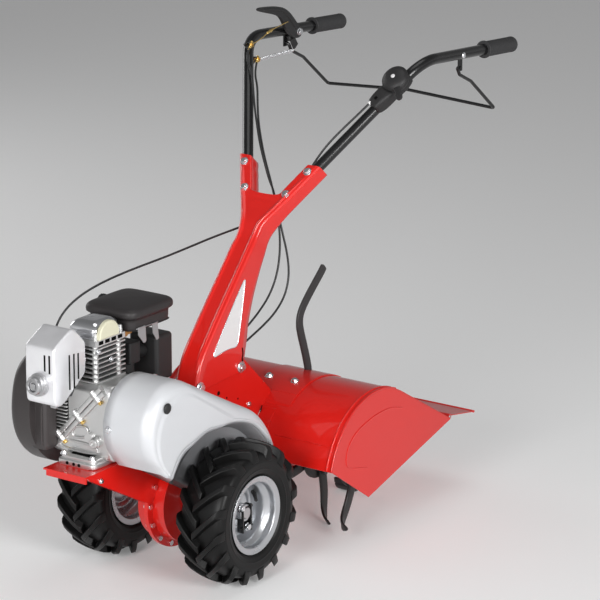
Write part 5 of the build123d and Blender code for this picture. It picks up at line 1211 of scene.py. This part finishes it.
# Throttle: a clamp moulded round the tube, a domed dial on it with a white centre and a thumb tab
throttle = {
    "place": (-570.06, 214.58, 1040.40), "out": (0.7547, 0, 0.6561), "tubeWay": (-0.6252, 0.4314, 0.6503),
    # clamp along the tube: place, half width, half height
    "clamp": [(-82, 12, 10), (-80, 15, 14), (-74, 17.5, 17), (-60, 19, 19), (-44, 20, 18.5), (-30, 22, 15),
              (-12, 25, 13.5), (6, 25, 13.5), (20, 21, 13.5), (27, 17, 13), (29, 13, 10)],
    "clampOut": 6,
    "seat": [(0, 12), (27, 12), (29.5, 14), (30.5, 17), (30.5, 22.6), (29.5, 23.6), (0, 23.6)],
    "dome": [(0, 24.2), (31, 24.2), (32.3, 25), (32.5, 26.4), (32.3, 28), (31.2, 29.2), (30.2, 29),
             (29.4, 30.2), (27, 33), (22, 35.8), (14, 37.8), (7, 38.6), (0, 38.8)],
    # thumb tab: distance from the dial's middle, half width, half thickness
    "tab": [(22, 7, 3.6), (36, 7.5, 3.6), (50, 8.5, 3.6), (60, 7, 3.24), (64, 4, 2.16)],
    "tabOut": 27.5, "tabAlong": -0.48, "tabAcross": -0.88,
    "centre": [(0, 1.6), (3.6, 1.4), (4.8, 0.8), (5.2, -0.6), (0, -0.6)], "centreOut": 38.5,
    "hole": 3.6, "holeOut": 24.9, "holeBack": 62, "holeDepth": 0.6,
    "feed": [(0, -14), (3.2, -14), (4.4, -12), (4.4, 2), (5.4, 3), (5.4, 8), (4, 9), (4, 13), (0, 13)],
}
dial, out, way = (np.array(throttle[key]) for key in ("place", "out", "tubeWay"))
across = np.cross(out, way)


def throttleClamp():
    clamp = np.array(throttle["clamp"])
    section = [softBox(width, height, 0.42, 36) for _, width, height in clamp]
    line = dial + way * clamp[:, :1] + out * throttle["clampOut"]
    return [swept(line, section, out), turned(throttle["seat"], dial, out, 48)]


def throttleDial():
    tab = np.array(throttle["tab"])
    section = [softBox(width, thick, 0.5) for _, width, thick in tab]
    aim = throttle["tabAlong"] * way + throttle["tabAcross"] * across
    line = dial + out * throttle["tabOut"] + tab[:, :1] * aim
    return [turned(throttle["dome"], dial, out, 56), swept(line, section, out)]


# A dark square of painted shade stands for the hole in the clamp
def clampHole():
    corner = np.array([(-1, -1), (1, -1), (1, 1), (-1, 1)]) * throttle["hole"]
    middle = dial + out * throttle["holeOut"] - way * throttle["holeBack"]
    return plateFrom(middle + corner[:, :1] * way + corner[:, 1:] * across, out * throttle["holeDepth"])


addPiece("throttleClamp", throttleClamp(), blackPlastic, "black_plastic", "throttle_housing")
addPiece("throttleDial", throttleDial(), blackPlastic, "black_plastic", "throttle_lever", body="throttle")
dialCentre = turned(throttle["centre"], dial + out * throttle["centreOut"], out)
addPiece("dialCentre", [dialCentre], panelWhite, "cream_paint", body="throttle")
addPiece("clampHole", [clampHole()], holeShade, "iron")
throttleFeed = turned(throttle["feed"], *cableStart("throttle_cable"), 20)
addPiece("throttleFeed", [throttleFeed], panelWhite, "black_plastic")
addPair("tubeStud", [turned(handle["stud"], handle["studPlace"], leftward)], zincPlate, "zinc")
print("handle")

# Tilling end: hooked blades on the rotor and the curved depth lever with its skid
rotor = {
    "middle": (-425, 160),
    # along a blade: radius, turn ahead of its root, share of the sideways bend, half width, half thickness
    "blade": [(34, 0, 0, 13, 4.2), (60, 1, 0, 13, 4.2), (92, 3, 0, 12.5, 4.2), (114, 6, 0.03, 12, 4.0),
              (130, 9.5, 0.13, 11.5, 3.8), (141, 13, 0.30, 11, 3.4), (148, 16, 0.50, 9.5, 3.0),
              (152, 18, 0.72, 7.5, 2.4), (154, 19.5, 0.93, 4.6, 1.8), (154.5, 20, 1.04, 1.6, 1.0)],
    # flanges of one rotor: place across, turn of the first blade and how far its blades bend sideways
    "flanges": [(88, -14.0, 48), (190, 18.0, 50)], "blades": 4, "seat": 8,
    # sleeve's two ends and a flange's edge: radius and place across, the flange's from its middle
    "sleeveStart": [(13.2, 52), (20, 52), (21, 53)], "sleeveEnd": [(21, 211), (20, 212), (13.2, 212)],
    "flange": [(21, -5), (50, -4.4), (52, -3), (52, 3), (50, 4.4), (21, 5)],
    "bolt": (13, 6, 8, 1.5), "boltRadius": 40, "boltOut": 12.7,
}


def tineBlade(flangeY, root, bend):
    radius, turn, share, width, thick = smoothLine(rotor["blade"], 60).T
    line = around(rotor["middle"], radius, flangeY + bend * share, np.radians(root + turn))
    return swept(line, [softBox(*half, 0.45, 20) for half in zip(width, thick)], leftward)


def tineRotor():
    # blades sit on both sides of each flange by turns and bend to that side
    flanges = [np.array(rotor["flange"]) + (0, y) for y, _, _ in rotor["flanges"]]
    sleeve = np.concatenate([rotor["sleeveStart"], *flanges, rotor["sleeveEnd"]])
    blades, bolts = [], []
    for y, root, reach in rotor["flanges"]:
        roots = root + 360 / rotor["blades"] * np.arange(rotor["blades"])
        for step, turn in enumerate(roots):
            side = 1 if step % 2 else -1
            blades.append(tineBlade(y + side * rotor["seat"], turn, side * (reach - rotor["seat"])))
        spots = around(rotor["middle"], rotor["boltRadius"], y + rotor["boltOut"], np.radians(roots))
        bolts += hexHeads(rotor["bolt"], spots, leftward)
    hub = (rotor["middle"][0], 0, rotor["middle"][1])
    return [turned(sleeve, hub, leftward, 40, closed=True), *blades], bolts


tineParts, tineBolts = tineRotor()
addPiece("tineBlades", tineParts + mirrored(tineParts), tinePaint, "black_paint", "tine_rotors",
         body="tines")
addPiece("tineBolts", tineBolts + mirrored(tineBolts), darkIron, "iron", body="tines")

depthLever = {
    "y": 26, "halfThick": 4,
    "line": [(-541, 588), (-528, 575), (-499.5, 550), (-475, 528), (-453, 505), (-443, 487), (-441, 466),
             (-447, 442), (-457, 413), (-467, 383), (-476, 350), (-478, 326), (-500, 300), (-540, 274),
             (-572, 246), (-594, 190), (-616, 110), (-636, 40), (-644, 18)],
    # share of the way down and half width
    "width": [(0, 11.2), (0.5, 11.6), (0.62, 11.8), (1, 11.0)], "rounding": 0.016,
    # curved sole with both ends turned up
    "sole": [(-622, 34), (-628, 14), (-640, 4.6), (-662, 4.2), (-684, 5.4), (-698, 13), (-703, 25)],
    "soleHalf": (25, 3.6),
}


def depthBar():
    count = 150
    t = np.linspace(0, 1, count)
    ends = np.clip(np.minimum(t, 1 - t) / depthLever["rounding"], 0.05, 1)**0.5
    width = np.interp(t, *np.transpose(depthLever["width"])) * ends
    section = [softBox(half, depthLever["halfThick"] * end, 0.5) for half, end in zip(width, ends)]
    lever = bar(standing(depthLever["line"], depthLever["y"]), count, section)
    sole = bar(standing(depthLever["sole"], depthLever["y"]), 40, softBox(*depthLever["soleHalf"], 0.4, 28),
               (0.3, 0, 1))
    return [lever, sole]


addPiece("depthBar", depthBar(), leverPaint, "black_paint", "depth_lever", body="depth")
print("tilling end")

# Studio: pale floor, even soft light
studio = {
    "floorSize": 80.0, "floorColour": (0.82, 0.82, 0.82, 1), "floorRough": 0.8,
    # the floor glows a little, so that it stays pale away from the lamps
    "floorGlow": 0.16,
    # brightness of the surroundings from straight down to straight up
    "worldShade": [(0.0, 0.62), (0.48, 0.74), (0.52, 0.95), (0.62, 0.85), (0.78, 0.42), (1.0, 0.30)],
    # the surroundings are brightest towards this direction and fall to the given share behind the object
    "brightSide": (0.62, 0.78), "farShare": 0.34,
    "ambient": 0.45,
    "lampAim": (0, 0, 0.45),
    "lamps": [
        {"name": "keyLight", "place": (1.9, 4.6, 2.0), "size": 2.2, "power": 175.0},
        {"name": "frontLight", "place": (4.6, 1.0, 1.7), "size": 1.8, "power": 115.0},
        {"name": "topLight", "place": (-0.2, 0.2, 4.2), "size": 2.4, "power": 22.0},
        {"name": "backLight", "place": (-0.6, -4.6, 1.7), "size": 2.2, "power": 45.0},
    ],
}


def addFloor():
    half = studio["floorSize"] / 2
    mesh = bpy.data.meshes.new("floor")
    mesh.from_pydata([(-half, -half, 0), (half, -half, 0), (half, half, 0), (-half, half, 0)], [],
                     [(0, 1, 2, 3)])
    material = bpy.data.materials.new("paleFloor")
    material.use_nodes = True
    shader = material.node_tree.nodes["Principled BSDF"].inputs
    shader["Base Color"].default_value = studio["floorColour"]
    shader["Roughness"].default_value = studio["floorRough"]
    shader["Emission Color"].default_value = (1, 1, 1, 1)
    shader["Emission Strength"].default_value = studio["floorGlow"]
    mesh.materials.append(material)
    floor = addObject("floor", mesh)


def addWorld():
    world = bpy.data.worlds.new("studioWorld")
    bpy.context.scene.world = world
    world.use_nodes = True
    tree = world.node_tree
    background = tree.nodes["Background"].inputs
    way = tree.nodes.new("ShaderNodeSeparateXYZ")
    tree.links.new(tree.nodes.new("ShaderNodeTexCoord").outputs["Generated"], way.inputs[0])
    shade = tree.nodes.new("ShaderNodeValToRGB")
    ramp = shade.color_ramp
    ramp.interpolation = "EASE"
    ramp.elements.remove(ramp.elements[1])
    for spot, (height, bright) in enumerate(studio["worldShade"]):
        mark = ramp.elements[0] if spot == 0 else ramp.elements.new(height)
        mark.position, mark.color = height, (bright, bright, 1.01 * bright, 1)
    tree.links.new(addMath(tree, "MULTIPLY_ADD", way.outputs["Z"], 0.5, 0.5), shade.inputs["Fac"])
    tree.links.new(shade.outputs["Color"], background["Color"])
    # full brightness where it is seen or mirrored, less of it as light
    rays = tree.nodes.new("ShaderNodeLightPath").outputs
    seen = addMath(tree, "MAXIMUM", rays["Is Camera Ray"], rays["Is Glossy Ray"])
    seen = addMath(tree, "MAXIMUM", seen, rays["Is Transmission Ray"])
    gain = addMath(tree, "MULTIPLY_ADD", seen, 1.0 - studio["ambient"], studio["ambient"])
    sideways = addMath(tree, "MULTIPLY", way.outputs["Y"], studio["brightSide"][1])
    along = addMath(tree, "MULTIPLY_ADD", way.outputs["X"], studio["brightSide"][0], sideways)
    near = addMath(tree, "MULTIPLY_ADD", along, 0.5, 0.5)
    share = addMath(tree, "MULTIPLY_ADD", near, 1.0 - studio["farShare"], studio["farShare"])
    share = addMath(tree, "MAXIMUM", share, rays["Is Camera Ray"])
    tree.links.new(addMath(tree, "MULTIPLY", gain, share), background["Strength"])


def addLamp(lamp):
    data = bpy.data.lights.new(lamp["name"], "AREA")
    data.shape, data.size, data.energy = "DISK", lamp["size"], lamp["power"]
    light = addObject(lamp["name"], data)
    light.location = lamp["place"]
    light.rotation_mode = "QUATERNION"
    aim = Vector(studio["lampAim"]) - Vector(lamp["place"])
    light.rotation_quaternion = aim.to_track_quat("-Z", "Y")


addFloor()
addWorld()
for lamp in studio["lamps"]:
    addLamp(lamp)
bpy.context.scene.view_settings.view_transform = "Standard"
print("studio lit")
